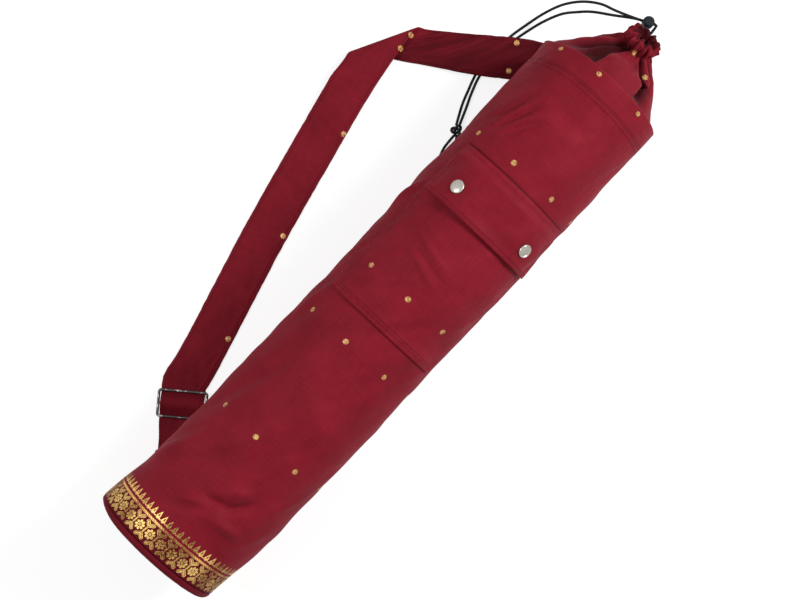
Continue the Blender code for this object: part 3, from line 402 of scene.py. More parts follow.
class BagColours(bpy.types.PropertyGroup):
    """Colours of the bag's materials."""

    cloth: colour_property(
        "Cloth", "Maroon of the sari cloth", (0.205, 0.0100, 0.0200),
    )
    sheen: colour_property(
        "Sheen", "Pink bloom of the cloth at a low angle", (0.95, 0.42, 0.50),
    )
    gold: colour_property(
        "Gold", "Bright gold thread", (0.93, 0.61, 0.19),
    )
    dot_gold: colour_property(
        "Dot gold", "Duller gold thread of the woven dots", (0.66, 0.37, 0.12),
    )
    # Painted shade: the gold thread darkened where it stands for thread turned from the light.
    gold_in_painted_shade: colour_property(
        "Old gold", "Gold thread turned from the light", (0.125, 0.040, 0.009),
    )
    nickel: colour_property(
        "Nickel", "Bright nickel of the snap caps", (0.50, 0.47, 0.42),
    )
    dark_nickel: colour_property(
        "Dark nickel", "Dark nickel of the slider and ring", (0.085, 0.075, 0.075),
    )
    cord: colour_property(
        "Cord", "Black braid of the drawcord", (0.0045, 0.0060, 0.0062),
    )
    plastic: colour_property(
        "Plastic", "Blue-grey plastic of the cord lock", (0.0070, 0.0115, 0.0150),
    )


def sizes():
    """The add-on's sizes in this scene."""
    return bpy.context.scene.bag_sizes


def colours():
    """The add-on's colours in this scene."""
    return bpy.context.scene.bag_colours


# Computed surfaces


def ease(value):
    """3 t^2 - 2 t^3, with t held between 0 and 1."""
    held = np.clip(value, 0.0, 1.0)
    return held * held * (3.0 - 2.0 * held)


def noise(a, b, seed):
    """Smooth noise from -1 to 1: random lattice values, blended by ease(t) along a and b."""
    lattice = np.random.default_rng(seed).uniform(-1.0, 1.0, (64, 64))
    i = np.floor(a).astype(int)
    j = np.floor(b).astype(int)
    s = ease(a - i)
    t = ease(b - j)
    low = lattice[i % 64, j % 64] * (1 - s) + lattice[(i + 1) % 64, j % 64] * s
    high = lattice[i % 64, (j + 1) % 64] * (1 - s) + lattice[(i + 1) % 64, (j + 1) % 64] * s
    return low * (1 - t) + high * t


def sway(along):
    """Sideways shift of the bag's axis: SWAY (1 - s / SWAY_LENGTH)^2 near the base."""
    return SWAY * np.clip(1.0 - np.maximum(along, 0.0) / SWAY_LENGTH, 0.0, 1.0) ** 2


def axis_height():
    """Height of the bag's axis, with its underside pressed a little flat."""
    return sizes().body_radius - AXIS_DROP


def on_bag(along, angle, lift):
    """Skin of the bag: x = s, y = sway(s) + (R + lift) sin a, z = H + (R + lift) cos a.

    The underside is held at the floor, and inner layers one lift above it. The top of the
    base leans out 2.5 mm, the collar is pulled back 5.5 mm on its strap side and stands out
    3 mm at its top, and the base lies 2.5 mm further to the strap side.
    """
    radius = sizes().body_radius + lift
    upright = 0.5 + 0.5 * np.cos(angle)
    near_base = 1.0 - ease(along / 0.10)
    near_top = ease((along - 0.52) / 0.12)
    pulled = 0.0030 * ease((upright - 0.55) / 0.45) - 0.0055 * ease((np.sin(angle) - 0.35) / 0.65)
    side = 0.0025 * (1.0 - ease(along / 0.15)) * ease((np.sin(angle) + 1.0) * 2.0 - 0.1)
    along = along - 0.0025 * upright * near_base + pulled * near_top
    y = sway(along) + side + radius * np.sin(angle)
    z = axis_height() + radius * np.cos(angle)
    z = np.maximum(z, FLOOR_CLEAR + np.maximum(0.0, -lift))
    return np.stack(np.broadcast_arrays(along + SEAM_X, y, z), axis=-1)


def folds(along, arc):
    """Sum of the seen folds: each is h exp(-(v / w)^2) (1 - (u / l)^2)^2 across and along it."""
    total = 0.0
    for middle, round_it, heading, half, width, height in FOLDS:
        u = (along - middle) * math.cos(heading) + (arc - round_it) * math.sin(heading)
        v = (arc - round_it) * math.cos(heading) - (along - middle) * math.sin(heading)
        v = v + 0.15 * width * np.sin(u / 0.012)
        window = np.maximum(0.0, 1.0 - (u / half) ** 2) ** 2
        total = total + height * np.exp(-(v / width) ** 2) * window
    return total


def crease(along, arc):
    """Soft creases of the filled cloth, by distance along it and round it.

    broad = 0.8 n(s / 75 mm, a / 60 mm) + 0.45 n(s / 30 mm, a / 36 mm), drag lines run
    slantwise, 0.30 n((0.8 s + a) / 13 mm, (s - a) / 70 mm), and the seen folds are added.
    All fade towards the underside and at the ends.
    """
    depth = sizes().crease_depth
    broad = 0.8 * noise(along / 0.075, arc / 0.060 + 9.3, 3)
    broad += 0.45 * noise(along / 0.030 + 7.1, arc / 0.036 + 5.7, 5)
    drag = 0.30 * noise((0.8 * along + arc) / 0.013 + 31.0, (along - arc) / 0.070 + 8.0, 9)
    round_it = np.abs(arc) / sizes().body_radius
    ends = ease((along - 0.004) / 0.055) * ease((COLLAR_TOP - along) / 0.03)
    fade = ease((math.pi - 0.35 - round_it) / 0.5) * ends
    return depth * (broad + drag + folds(along, arc)) * fade


def make_mesh(name, vertices, faces, loop_uvs, attributes=None):
    """Mesh object from arrays, with a UV in metres for each corner."""
    mesh = bpy.data.meshes.new(name)
    mesh.from_pydata(vertices.tolist(), [], faces if isinstance(faces, list) else faces.tolist())
    layer = mesh.uv_layers.new(name="UVMap")
    layer.data.foreach_set("uv", np.asarray(loop_uvs, np.float32).ravel())
    for title, values in (attributes or {}).items():
        stored = mesh.attributes.new(title, "FLOAT", "POINT")
        stored.data.foreach_set("value", np.asarray(values, np.float32).ravel())
    mesh.shade_smooth()
    mesh.set_sharp_from_angle(angle=math.radians(55))
    made = bpy.data.objects.new(name, mesh)
    bpy.context.scene.collection.objects.link(made)
    return made


def grid_corners(rows, cols, wrap_rows, wrap_cols):
    """Faces of a grid, and the unwrapped row and column of each of their corners."""
    r, c = np.meshgrid(
        np.arange(rows if wrap_rows else rows - 1), np.arange(cols if wrap_cols else cols - 1),
        indexing="ij",
    )
    r = r.ravel()
    c = c.ravel()
    corner_rows = np.stack([r, r, r + 1, r + 1], axis=1)
    corner_cols = np.stack([c, c + 1, c + 1, c], axis=1)
    return (corner_rows % rows) * cols + corner_cols % cols, corner_rows, corner_cols


def ring_surface(name, points, uv, attributes=None):
    """Closed surface from a grid that wraps along its rows and its columns.

    uv has one row and one column more than the points, so that the cloth's pattern closes.
    """
    rows, cols = points.shape[:2]
    faces, corner_rows, corner_cols = grid_corners(rows, cols, True, True)
    loop_uvs = uv[corner_rows, corner_cols].reshape(-1, 2)
    return make_mesh(name, points.reshape(-1, 3), faces, loop_uvs, attributes)


def shell(name, points, uv, thickness, wrap=False, attributes=None):
    """Closed sheet of cloth: the outer side is the grid P, the inner side P - thickness n.

    n is the unit vector of dP/dcolumn x dP/drow. A wrapped sheet closes round its columns,
    and its uv has one column more than its points.
    """
    rows, cols = points.shape[:2]
    if wrap:
        across = np.roll(points, -1, axis=1) - np.roll(points, 1, axis=1)
    else:
        across = np.gradient(points, axis=1)
    normal = np.cross(across, np.gradient(points, axis=0))
    normal /= np.maximum(np.linalg.norm(normal, axis=2, keepdims=True), 1e-12)
    inner = points - normal * thickness
    inner[..., 2] = np.maximum(inner[..., 2], np.minimum(points[..., 2], FLOOR_CLEAR))
    vertices = np.concatenate([points.reshape(-1, 3), inner.reshape(-1, 3)])
    outer, corner_rows, corner_cols = grid_corners(rows, cols, False, wrap)
    faces = [outer, outer[:, ::-1] + rows * cols]
    corners = [uv[corner_rows, corner_cols], uv[corner_rows, corner_cols][:, ::-1]]

    def strip(first_row, first_col, second_row, second_col):
        """Join an outer edge, run backwards, to the inner side below it."""
        start = first_row * cols + first_col % cols
        end = second_row * cols + second_col % cols
        faces.append(np.stack([start, end, end + rows * cols, start + rows * cols], axis=1))
        a = uv[first_row, first_col]
        b = uv[second_row, second_col]
        corners.append(np.stack([a, b, b, a], axis=1))

    c = np.arange(cols if wrap else cols - 1)
    strip(np.zeros_like(c), c + 1, np.zeros_like(c), c)
    strip(np.full_like(c, rows - 1), c, np.full_like(c, rows - 1), c + 1)
    if not wrap:
        r = np.arange(rows - 1)
        strip(r, np.zeros_like(r), r + 1, np.zeros_like(r))
        strip(r + 1, np.full_like(r, cols - 1), r, np.full_like(r, cols - 1))
    doubled = {
        title: np.concatenate([values.ravel(), values.ravel()])
        for title, values in (attributes or {}).items()
    }
    loop_uvs = np.concatenate(corners).reshape(-1, 2)
    return make_mesh(name, vertices, np.concatenate(faces), loop_uvs, doubled)


def catmull(points, step):
    """Points about one step apart on a Catmull-Rom curve through the given points."""
    knots = np.array([tuple(point) for point in points])
    ends = np.vstack([2 * knots[0] - knots[1], knots, 2 * knots[-1] - knots[-2]])
    path = []
    for i in range(len(knots) - 1):
        before, start, end, after = ends[i:i + 4]
        pieces = max(1, round(float(np.linalg.norm(end - start)) / step))
        t = (np.arange(pieces) / pieces)[:, None]
        path.append(0.5 * (
            2 * start + (end - before) * t
            + (2 * before - 5 * start + 4 * end - after) * t ** 2
            + (3 * start - before - 3 * end + after) * t ** 3
        ))
    return np.vstack(path + [knots[-1:]])


def path_frames(path, closed=False):
    """Unit tangents of a path, and two unit vectors square to each of them."""
    if closed:
        tangent = np.roll(path, -1, axis=0) - np.roll(path, 1, axis=0)
    else:
        tangent = np.gradient(path, axis=0)
    tangent /= np.linalg.norm(tangent, axis=1, keepdims=True)
    side = np.cross(tangent, np.array([0.0, 0.0, 1.0]))
    steep = np.linalg.norm(side, axis=1, keepdims=True) < 1e-6
    side = np.where(steep, np.array([0.0, 1.0, 0.0]), side)
    side /= np.linalg.norm(side, axis=1, keepdims=True)
    return tangent, side, np.cross(side, tangent)


def tube(name, path, radius, sides=12, closed=False):
    """Round tube: P = path + radius (side cos t - up sin t), with a fan at each open end."""
    _, side, up = path_frames(path, closed)
    turn = np.arange(sides) / sides * math.tau
    across = np.cos(turn)[None, :, None]
    upward = np.sin(turn)[None, :, None]
    points = path[:, None, :] + radius * (side[:, None, :] * across - up[:, None, :] * upward)
    steps = np.linalg.norm(np.diff(path, axis=0), axis=1)
    travelled = np.concatenate([[0.0], np.cumsum(steps), [np.sum(steps) + steps[-1]]])
    round_it = np.arange(sides + 1) / sides
    uv = np.stack(np.meshgrid(travelled, round_it, indexing="ij"), axis=-1)
    if closed:
        return ring_surface(name, points, uv)
    count = len(path) * sides
    faces, corner_rows, corner_cols = grid_corners(len(path), sides, False, True)
    loop_uvs = uv[corner_rows, corner_cols].reshape(-1, 2)
    k = np.arange(sides)
    start_fan = np.stack([np.full(sides, count), (k + 1) % sides, k], axis=1)
    last = count - sides
    end_fan = np.stack([np.full(sides, count + 1), last + k, last + (k + 1) % sides], axis=1)
    fan_uvs = np.zeros((sides * 6, 2))
    vertices = np.vstack([points.reshape(-1, 3), path[:1], path[-1:]])
    all_faces = faces.tolist() + start_fan.tolist() + end_fan.tolist()
    return make_mesh(name, vertices, all_faces, np.vstack([loop_uvs, fan_uvs]))


# Shaders


class Graph:
    """Short names for making a shader's nodes and their links."""

    def __init__(self, tree):
        self.tree = tree

    def node(self, kind, **settings):
        """Make a node."""
        made = self.tree.nodes.new(kind)
        for title, value in settings.items():
            setattr(made, title, value)
        return made

    def put(self, socket, value):
        """Link a value to a socket, or set it as the socket's own."""
        if isinstance(value, bpy.types.NodeSocket):
            self.tree.links.new(value, socket)
        else:
            socket.default_value = value

    def feed(self, node, **values):
        """Link or set sockets by name; an underscore stands for a space in the name."""
        for title, value in values.items():
            self.put(node.inputs[title.replace("_", " ")], value)

    def math(self, operation, *values):
        """Result of a sum on values."""
        made = self.node("ShaderNodeMath", operation=operation)
        for socket, value in zip(made.inputs, values):
            self.put(socket, value)
        return made.outputs[0]

    def add(self, a, b):
        """a + b."""
        return self.math("ADD", a, b)

    def sub(self, a, b):
        """a - b."""
        return self.math("SUBTRACT", a, b)

    def mul(self, a, b):
        """a b."""
        return self.math("MULTIPLY", a, b)

    def mul_add(self, a, b, c):
        """a b + c."""
        return self.math("MULTIPLY_ADD", a, b, c)

    def larger(self, a, b):
        """The larger of a and b."""
        return self.math("MAXIMUM", a, b)

    def smaller(self, a, b):
        """The smaller of a and b."""
        return self.math("MINIMUM", a, b)

    def absolute(self, a):
        """a without its sign."""
        return self.math("ABSOLUTE", a)

    def hypot(self, a, b):
        """Square root of a^2 + b^2."""
        return self.math("SQRT", self.add(self.mul(a, a), self.mul(b, b)))

    def uv(self):
        """The piece's UV in metres, and its two parts."""
        whole = self.node("ShaderNodeUVMap", uv_map="UVMap").outputs[0]
        parts = self.node("ShaderNodeSeparateXYZ")
        self.put(parts.inputs[0], whole)
        return whole, parts.outputs[0], parts.outputs[1]

    def shade(self, colour, factor):
        """A colour times a number."""
        made = self.node("ShaderNodeVectorMath", operation="SCALE")
        self.put(made.inputs[0], colour)
        self.put(made.inputs["Scale"], factor)
        return made.outputs[0]

    def step(self, value, low, high):
        """Smooth step from 0 at low to 1 at high."""
        made = self.node("ShaderNodeMapRange", interpolation_type="SMOOTHSTEP")
        self.feed(made, Value=value, From_Min=low, From_Max=high)
        return made.outputs[0]

    def mix(self, factor, first, second):
        """Blend of two colours."""
        made = self.node("ShaderNodeMix", data_type="RGBA")
        self.put(made.inputs[0], factor)
        self.put(made.inputs[6], first)
        self.put(made.inputs[7], second)
        return made.outputs[2]

    def noise(self, vector, scale, detail=2.0, roughness=0.5):
        """Noise from 0 to 1."""
        made = self.node("ShaderNodeTexNoise")
        self.feed(made, Vector=vector, Scale=scale, Detail=detail, Roughness=roughness)
        return made.outputs[0]

    def scaled(self, vector, factors):
        """A vector times another."""
        made = self.node("ShaderNodeVectorMath", operation="MULTIPLY")
        self.put(made.inputs[0], vector)
        self.put(made.inputs[1], factors)
        return made.outputs[0]

    def bump(self, height, distance, strength=1.0, normal=None):
        """Normal of a surface raised by height times distance."""
        made = self.node("ShaderNodeBump")
        self.feed(made, Height=height, Distance=distance, Strength=strength)
        if normal is not None:
            self.put(made.inputs["Normal"], normal)
        return made.outputs[0]


def node_group(name, inputs, outputs):
    """New node group with its sockets; returns its graph, its inputs and its output node."""
    tree = bpy.data.node_groups.new(name, "ShaderNodeTree")
    for title, kind in inputs:
        tree.interface.new_socket(title, in_out="INPUT", socket_type=kind)
    for title, kind in outputs:
        tree.interface.new_socket(title, in_out="OUTPUT", socket_type=kind)
    graph = Graph(tree)
    entry = graph.node("NodeGroupInput")
    leave = graph.node("NodeGroupOutput")
    return graph, entry.outputs, leave.inputs


def shared_group(name, maker):
    """The node group of that name, made once."""
    return bpy.data.node_groups.get(name) or maker(name)


def weave_group(name):
    """Silk-like plain weave with a slight unevenness of its threads, broad patches of painted sheen and painted shade
    in its stitch grooves, sewn along its edges.
    """
    graph, entry, leave = node_group(
        name,
        [("Colour", "NodeSocketColor"), ("Stitch distance", "NodeSocketFloat"),
         ("Second row", "NodeSocketFloat"), ("Crumple", "NodeSocketFloat")],
        [("Colour", "NodeSocketColor"), ("Normal", "NodeSocketVector")],
    )
    uv, u, v = graph.uv()
    edge = graph.node("ShaderNodeAttribute", attribute_name="edge_distance").outputs["Fac"]
    warp = graph.noise(graph.scaled(uv, (1500.0, 45.0, 1.0)), 1.0)
    weft = graph.noise(graph.scaled(uv, (45.0, 1500.0, 1.0)), 1.0)
    # Painted sheen: broad patches, some 40 mm across, make the cloth lighter and darker by up to 0.275.
    painted_sheen = graph.noise(uv, 26.0, 3.0)
    thread = graph.add(warp, weft)
    tone = graph.mul_add(graph.sub(thread, 1.0), 0.55, 1.0)
    tone = graph.add(tone, graph.mul(graph.sub(painted_sheen, 0.5), 0.55))
    dash = graph.math("SINE", graph.mul(graph.add(u, v), math.tau / STITCH_LENGTH))
    dash = graph.step(dash, -0.5, 0.1)
    from_row = graph.absolute(graph.sub(edge, entry["Stitch distance"]))
    from_second = graph.absolute(graph.sub(edge, entry["Second row"]))
    nearest = graph.smaller(from_row, from_second)
    groove_and_shade = graph.step(nearest, 0.0014, 0.0)
    sewn = graph.mul(graph.step(nearest, 0.00045, 0.0002), dash)
    # Painted shade in the stitch grooves: the tone drops by 0.22 there, and the same mask sinks the bump.
    tone = graph.sub(tone, graph.mul(groove_and_shade, 0.22))
    tone = graph.add(tone, graph.mul(sewn, 0.30))
    pucker = graph.noise(graph.scaled(uv, (330.0, 330.0, 1.0)), 1.0)
    near_edge = graph.step(nearest, 0.0060, 0.0)
    soft = graph.noise(uv, 70.0, 3.0)
    height = graph.mul(soft, entry["Crumple"])
    height = graph.add(height, graph.mul(pucker, graph.mul(near_edge, 0.55)))
    height = graph.sub(height, graph.mul(groove_and_shade, 0.40))
    height = graph.add(height, graph.mul(sewn, 0.20))
    height = graph.add(height, graph.mul(thread, 0.045))
    graph.put(leave["Colour"], graph.shade(entry["Colour"], tone))
    graph.put(leave["Normal"], graph.bump(height, 0.0011))
    return graph.tree


def segment_distance(graph, x, y, start, end):
    """Distance of the point (x, y) from a line between two points."""
    dx = end[0] - start[0]
    dy = end[1] - start[1]
    size = dx * dx + dy * dy
    px = graph.sub(x, start[0])
    py = graph.sub(y, start[1])
    share = graph.add(graph.mul(px, dx / size), graph.mul(py, dy / size))
    share = graph.smaller(graph.larger(share, 0.0), 1.0)
    qx = graph.sub(px, graph.mul(share, dx))
    qy = graph.sub(py, graph.mul(share, dy))
    return graph.hypot(qx, qy)


def border_group(name):
    """Woven gold border: flowers with pairs of leaves between them, a line and a row of buds.

    Its outputs are where the gold is, how light it is, which is painted light in broad patches and painted glints, and
    the tone of the cloth between.
    """
    graph, _, leave = node_group(
        name, [],
        [("Gold", "NodeSocketFloat"), ("Light", "NodeSocketFloat"), ("Ground", "NodeSocketFloat")],
    )
    uv, u, v = graph.uv()

    def cell(pitch, shift):
        """Distance from the middle of the nearest of many cells."""
        share = graph.add(graph.math("DIVIDE", u, pitch), shift)
        return graph.mul(graph.sub(graph.math("FRACT", share), 0.5), pitch)

    x = cell(FLOWER_PITCH, FLOWER_SHIFT)
    y = graph.sub(v, FLOWER_ROW)
    away = graph.hypot(x, y)
    turn = graph.math("DIVIDE", graph.math("ARCTAN2", y, x), math.tau / 8)
    turn = graph.mul(graph.sub(graph.math("FRACT", turn), 0.5), math.tau / 8)
    petal_x = graph.mul(away, graph.math("COSINE", turn))
    petal_y = graph.mul(away, graph.math("SINE", turn))
    petal = segment_distance(graph, petal_x, petal_y, (0.0034, 0.0), (0.0043, 0.0))
    petals = graph.step(petal, 0.00155, 0.00105)
    middle = graph.step(away, 0.0017, 0.0012)
    seed = graph.step(away, 0.0003, 0.0007)
    flower = graph.larger(petals, graph.mul(middle, graph.mul_add(seed, 0.5, 0.5)))

    x_between = graph.absolute(cell(FLOWER_PITCH, FLOWER_SHIFT + 0.5))
    y_out = graph.absolute(y)
    heart = segment_distance(graph, x_between, y_out, (0.0, 0.0054), (0.0040, 0.0087))
    heart_in = graph.step(heart, 0.00215, 0.0017)
    vein = graph.step(graph.absolute(graph.sub(heart, 0.0009)), 0.0002, 0.0006)
    heart_fill = graph.mul(heart_in, graph.mul_add(vein, 0.65, 0.35))

    tip = segment_distance(graph, x_between, y_out, (0.0, 0.0), (0.0, 0.0022))
    bead = graph.step(tip, 0.0012, 0.0008)

    strand = graph.math("SINE", graph.mul(graph.add(u, v), math.tau / TWIST_LENGTH))
    line_y = graph.absolute(graph.sub(v, LINE_AT))
    line = graph.mul(graph.step(line_y, 0.00150, 0.00110), graph.mul_add(strand, 0.2, 0.8))

    bud_x = graph.absolute(cell(FLOWER_PITCH / 2, 0.25))
    bud_y = graph.sub(v, LEAF_AT)
    stem = segment_distance(graph, bud_x, bud_y, (0.0, 0.0012), (0.0, 0.0064))
    width = graph.mul_add(bud_y, -0.36, 0.0029)
    stem_in = graph.step(graph.sub(width, stem), 0.0, 0.0004)
    hole = segment_distance(graph, bud_x, bud_y, (0.0, 0.0011), (0.0, 0.0026))
    stem_in = graph.mul(stem_in, graph.step(hole, 0.0003, 0.0009))
    side = segment_distance(graph, bud_x, bud_y, (0.0024, -0.0006), (0.0036, -0.0013))
    bud = graph.larger(stem_in, graph.step(side, 0.0007, 0.0004))

    gold = graph.mul(bead, 0.8)
    for motif in (flower, heart_fill, line, bud):
        gold = graph.larger(gold, motif)
    gold = graph.mul(gold, graph.step(v, 0.0008, 0.0014))
    # Painted light on the gold: broad lit patches and fine painted glints pick between the lit gold and the gold in
    # painted shade.
    patches = graph.noise(graph.scaled(uv, (34.0, 9.0, 1.0)), 1.0, 1.0)
    painted_glint_noise = graph.noise(graph.scaled(uv, (900.0, 420.0, 1.0)), 1.0, 1.0)
    light = graph.step(patches, 0.38, 0.60)
    painted_glint = graph.step(painted_glint_noise, 0.36, 0.64)
    light = graph.add(graph.mul(light, 0.62), graph.mul(painted_glint, 0.44))
    band = graph.step(v, 0.0236, 0.0226)
    graph.put(leave["Gold"], gold)
    graph.put(leave["Light"], light)
    graph.put(leave["Ground"], graph.mul_add(band, -0.50, 1.0))
    return graph.tree


def new_material(name):
    """New node material; returns it, its graph and its main shader."""
    made = bpy.data.materials.new(name)
    made.use_nodes = True
    return made, Graph(made.node_tree), made.node_tree.nodes["Principled BSDF"]


def times(value, factor=1.0):
    """A colour times a number, with full cover."""
    return (*(channel * factor for channel in value), 1.0)


def made_once(maker):
    """A maker of materials that gives back the one of that name if it is there already."""
    def give(name, *values, **settings):
        return bpy.data.materials.get(name) or maker(name, *values, **settings)
    return give


@made_once
def cloth_material(name, second_row=-1.0, crumple=0.85, painted_light_scale=1.0, border=False, stitch=None,
                   with_painted_shade=False):
    """Maroon sari cloth: with its woven gold border, or darker in its pleats and seams by painted shade. A scale on the
    cloth's colour gives lit and shaded copies of it: painted light above 1, painted shade below 1.
    """
    made, graph, shader = new_material(name)
    weave = graph.node("ShaderNodeGroup", node_tree=shared_group("sewn_weave", weave_group))
    # Painted light above 1 and painted shade below 1: the cloth's colour is scaled for each piece.
    graph.feed(weave, Colour=times(colours().cloth, painted_light_scale), Second_row=second_row,
               Stitch_distance=stitch or sizes().stitch_from_edge, Crumple=crumple)
    colour = weave.outputs["Colour"]
    if border:
        motif = graph.node("ShaderNodeGroup", node_tree=shared_group("gold_border", border_group))
        woven = motif.outputs["Gold"]
        # Lit gold and gold in painted shade, picked by the border's painted light.
        gold = graph.mix(motif.outputs["Light"], times(colours().gold_in_painted_shade), times(colours().gold))
        colour = graph.mix(woven, graph.shade(colour, motif.outputs["Ground"]), gold)
        normal = graph.bump(woven, 0.00035, 0.8, weave.outputs["Normal"])
        graph.feed(
            shader, Metallic=graph.mul(woven, GOLD_METALLIC),
            Roughness=graph.mul_add(woven, -0.22, CLOTH_ROUGHNESS),
            Sheen_Weight=graph.mul_add(woven, -0.05, CLOTH_SHEEN),
        )
    else:
        graph.feed(shader, Roughness=CLOTH_ROUGHNESS, Sheen_Weight=CLOTH_SHEEN)
        normal = weave.outputs["Normal"]
    # Painted shade: the colour is darkened by up to 0.80 where the piece's shade attribute is set, in pleats, creases
    # and seams.
    if with_painted_shade:
        painted_shade = graph.node("ShaderNodeAttribute", attribute_name="painted_shade").outputs["Fac"]
        colour = graph.shade(colour, graph.mul_add(painted_shade, -0.80, 1.0))
    graph.feed(shader, Base_Color=colour, Normal=normal, Specular_IOR_Level=0.05,
               Sheen_Roughness=0.45, Sheen_Tint=times(colours().sheen))
    return made


@made_once
def metal_material(name, colour, roughness, streaks=0.0):
    """Worn plated metal with soft scratches, and streaks where its plating is uneven."""
    made, graph, shader = new_material(name)
    place = graph.node("ShaderNodeTexCoord").outputs["Object"]
    wear = graph.noise(place, 900.0, 3.0, 0.6)
    tone = graph.mix(graph.step(wear, 0.3, 0.7), times(colour, 0.72), times(colour))
    if streaks:
        uneven = graph.step(graph.noise(place, 210.0, 2.0), 0.50, 0.66)
        tone = graph.mix(uneven, tone, times(colour, 1.0 + streaks))
    graph.feed(shader, Base_Color=tone, Metallic=1.0, Normal=graph.bump(wear, 0.00004),
               Roughness=graph.mul_add(wear, 0.16, roughness))
    return made


@made_once
def cord_material(name):
    """Black braid: two sets of slanting strands that cross, drawn along and round the cord, with painted highlights on
    the strands' crests and painted shade between them.
    """
    made, graph, shader = new_material(name)
    _, u, v = graph.uv()
    along = graph.mul(u, math.tau / BRAID_LENGTH)
    round_it = graph.mul(v, math.tau * 3)
    right = graph.math("SINE", graph.add(along, round_it))
    left = graph.math("SINE", graph.sub(along, round_it))
    braid = graph.larger(right, left)
    # Painted highlight and painted shade: the strands' crests at 2.6 times the cord's black, the gaps between them at
    # 0.35 times.
    tone = graph.mix(graph.step(braid, 0.2, 1.0), times(colours().cord, 0.35),
                     times(colours().cord, 2.6))
    graph.feed(shader, Base_Color=tone, Roughness=0.60, Specular_IOR_Level=0.20,
               Normal=graph.bump(braid, 0.00025))
    return made


@made_once
def plastic_material(name):
    """Fine-grained blue-grey plastic."""
    made, graph, shader = new_material(name)
    place = graph.node("ShaderNodeTexCoord").outputs["Object"]
    grain = graph.noise(place, 1400.0, 2.0)
    tone = graph.mix(grain, times(colours().plastic, 0.8), times(colours().plastic, 1.2))
    graph.feed(shader, Base_Color=tone, Roughness=0.55, Specular_IOR_Level=0.18,
               Normal=graph.bump(grain, 0.00003))
    return made


@made_once
def gold_material(name):
    """Gold thread of the woven dots, in short floats across the cloth, with painted glints between lit gold and gold in
    painted shade.
    """
    made, graph, shader = new_material(name)
    uv = graph.node("ShaderNodeUVMap", uv_map="UVMap").outputs[0]
    # Painted glints: fine streaks pick between the dot gold and the gold in painted shade.
    painted_glints = graph.noise(graph.scaled(uv, (1100.0, 300.0, 1.0)), 1.0, 2.0)
    tone = graph.mix(graph.step(painted_glints, 0.30, 0.62), times(colours().gold_in_painted_shade),
                     times(colours().dot_gold))
    graph.feed(shader, Base_Color=tone, Metallic=GOLD_METALLIC, Roughness=0.42,
               Normal=graph.bump(painted_glints, 0.0002))
    return made


def finish_piece(piece, material, body, slot, nodes=()):
    """Give a piece its material, its body, its finish slot and the nodes it stands for."""
    piece.data.materials.append(material)
    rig.ride(piece, body)
    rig.slot(piece, slot)
    if nodes:
        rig.replaces(piece, *nodes)
    return piece


# Cloth of the bag


def sew(piece, cloth, *nodes):
    """Finish a piece of the bag's cloth, which stands for these nodes."""
    return finish_piece(piece, cloth, "bag", "maroon_cloth", nodes)


def with_edges(points, distances):
    """Distance from a sewn edge, for each point of a grid."""
    return {"edge_distance": np.broadcast_to(distances, points.shape[:2])}


def make_body():
    """Body tube with its woven border: P = on_bag(s, a, crease(s, a R)).

    Under the pocket the creases only go inwards, so that the cloth stays below it. The grid
    is finer on top, with a = pi (0.72 t + 0.28 t^3).
    """
    rows, cols = 226, 200
    along = np.linspace(GAP, BODY_END, rows)[:, None]
    t = np.linspace(1.0, -1.0, cols + 1)[None, :]
    angle = math.pi * (0.72 * t + 0.28 * t ** 3)
    arc = angle * sizes().body_radius
    lift = crease(along, arc)
    inward = ease((POCKET_HALF - np.abs(angle - POCKET_MIDDLE)) / 0.08)
    inward = inward * ease((along - POCKET_BOTTOM) / 0.006) * ease((FLAP_SEAM - along) / 0.006)
    lift = lift - inward * np.maximum(lift, 0.0)
    points = on_bag(along, angle, lift)[:, :-1]
    uv = np.stack(np.broadcast_arrays(-arc, along), axis=-1)
    body = shell("sari_body", points, uv, CLOTH, True, with_edges(points, 1.0))
    sew(body, cloth_material("sari_cloth_border", border=True), "body_tube", "border_band")


def make_base():
    """Piping round the base and the flat disc inside it.

    The piping is a ring of radius 2.2 mm (1 + 0.05 n), puckered where it is sewn, and its
    cover hangs out up to 3.6 mm further from the base where the bag's top side leans.
    """
    radius = 0.0022
    rim = sizes().body_radius - GAP - radius
    rows, cols = 14, 260
    turn = np.linspace(0.0, math.tau, rows + 1)[:, None]
    angle = np.linspace(math.pi, -math.pi, cols + 1)[None, :]
    pucker = 1.0 + 0.05 * noise(angle * 34.0, turn * 0.7, 21)
    lift = rim + radius * pucker * np.cos(turn) - sizes().body_radius
    out = 0.5 - 0.5 * np.sin(turn)
    slack = 0.0030 * ease((np.cos(angle + 0.25) + 0.1) / 0.8) * (1.0 + 0.2 * pucker)
    along = -radius + radius * pucker * np.sin(turn) - slack * out
    points = on_bag(along, angle, lift)
    points[..., 2] = np.maximum(points[..., 2], FLOOR_CLEAR)
    uv = np.stack(np.broadcast_arrays(-angle * rim, turn * radius), axis=-1)
    piping = ring_surface("piping", points[:-1, :-1], uv, None)
    # Painted shade: the piping's cloth at 0.62.
    cloth = cloth_material("sari_cloth_piping", painted_light_scale=0.62, crumple=0.3)
    sew(piping, cloth, "base_piping")

    edge = rim - radius - GAP
    front = -2 * radius - GAP
    profile = np.array([
        (1e-5, front), (edge * 0.5, front), (edge - 0.0006, front), (edge, front + 0.0006),
        (edge, front + 0.0020), (edge * 0.5, front + 0.0020), (1e-5, front + 0.0020),
    ])
    angle = np.linspace(math.pi, -math.pi, 121)[None, :]
    points = on_bag(profile[:, 1:2], angle, profile[:, 0:1] - sizes().body_radius)
    points[..., 2] = axis_height() + profile[:, 0:1] * np.cos(angle)
    closed = np.vstack([points, points[:1]])
    uv = np.stack([closed[..., 1], closed[..., 2]], axis=-1)
    disc = ring_surface("base_round", points[:, :-1], uv)
    sew(disc, cloth_material("sari_cloth"), "base_disc")


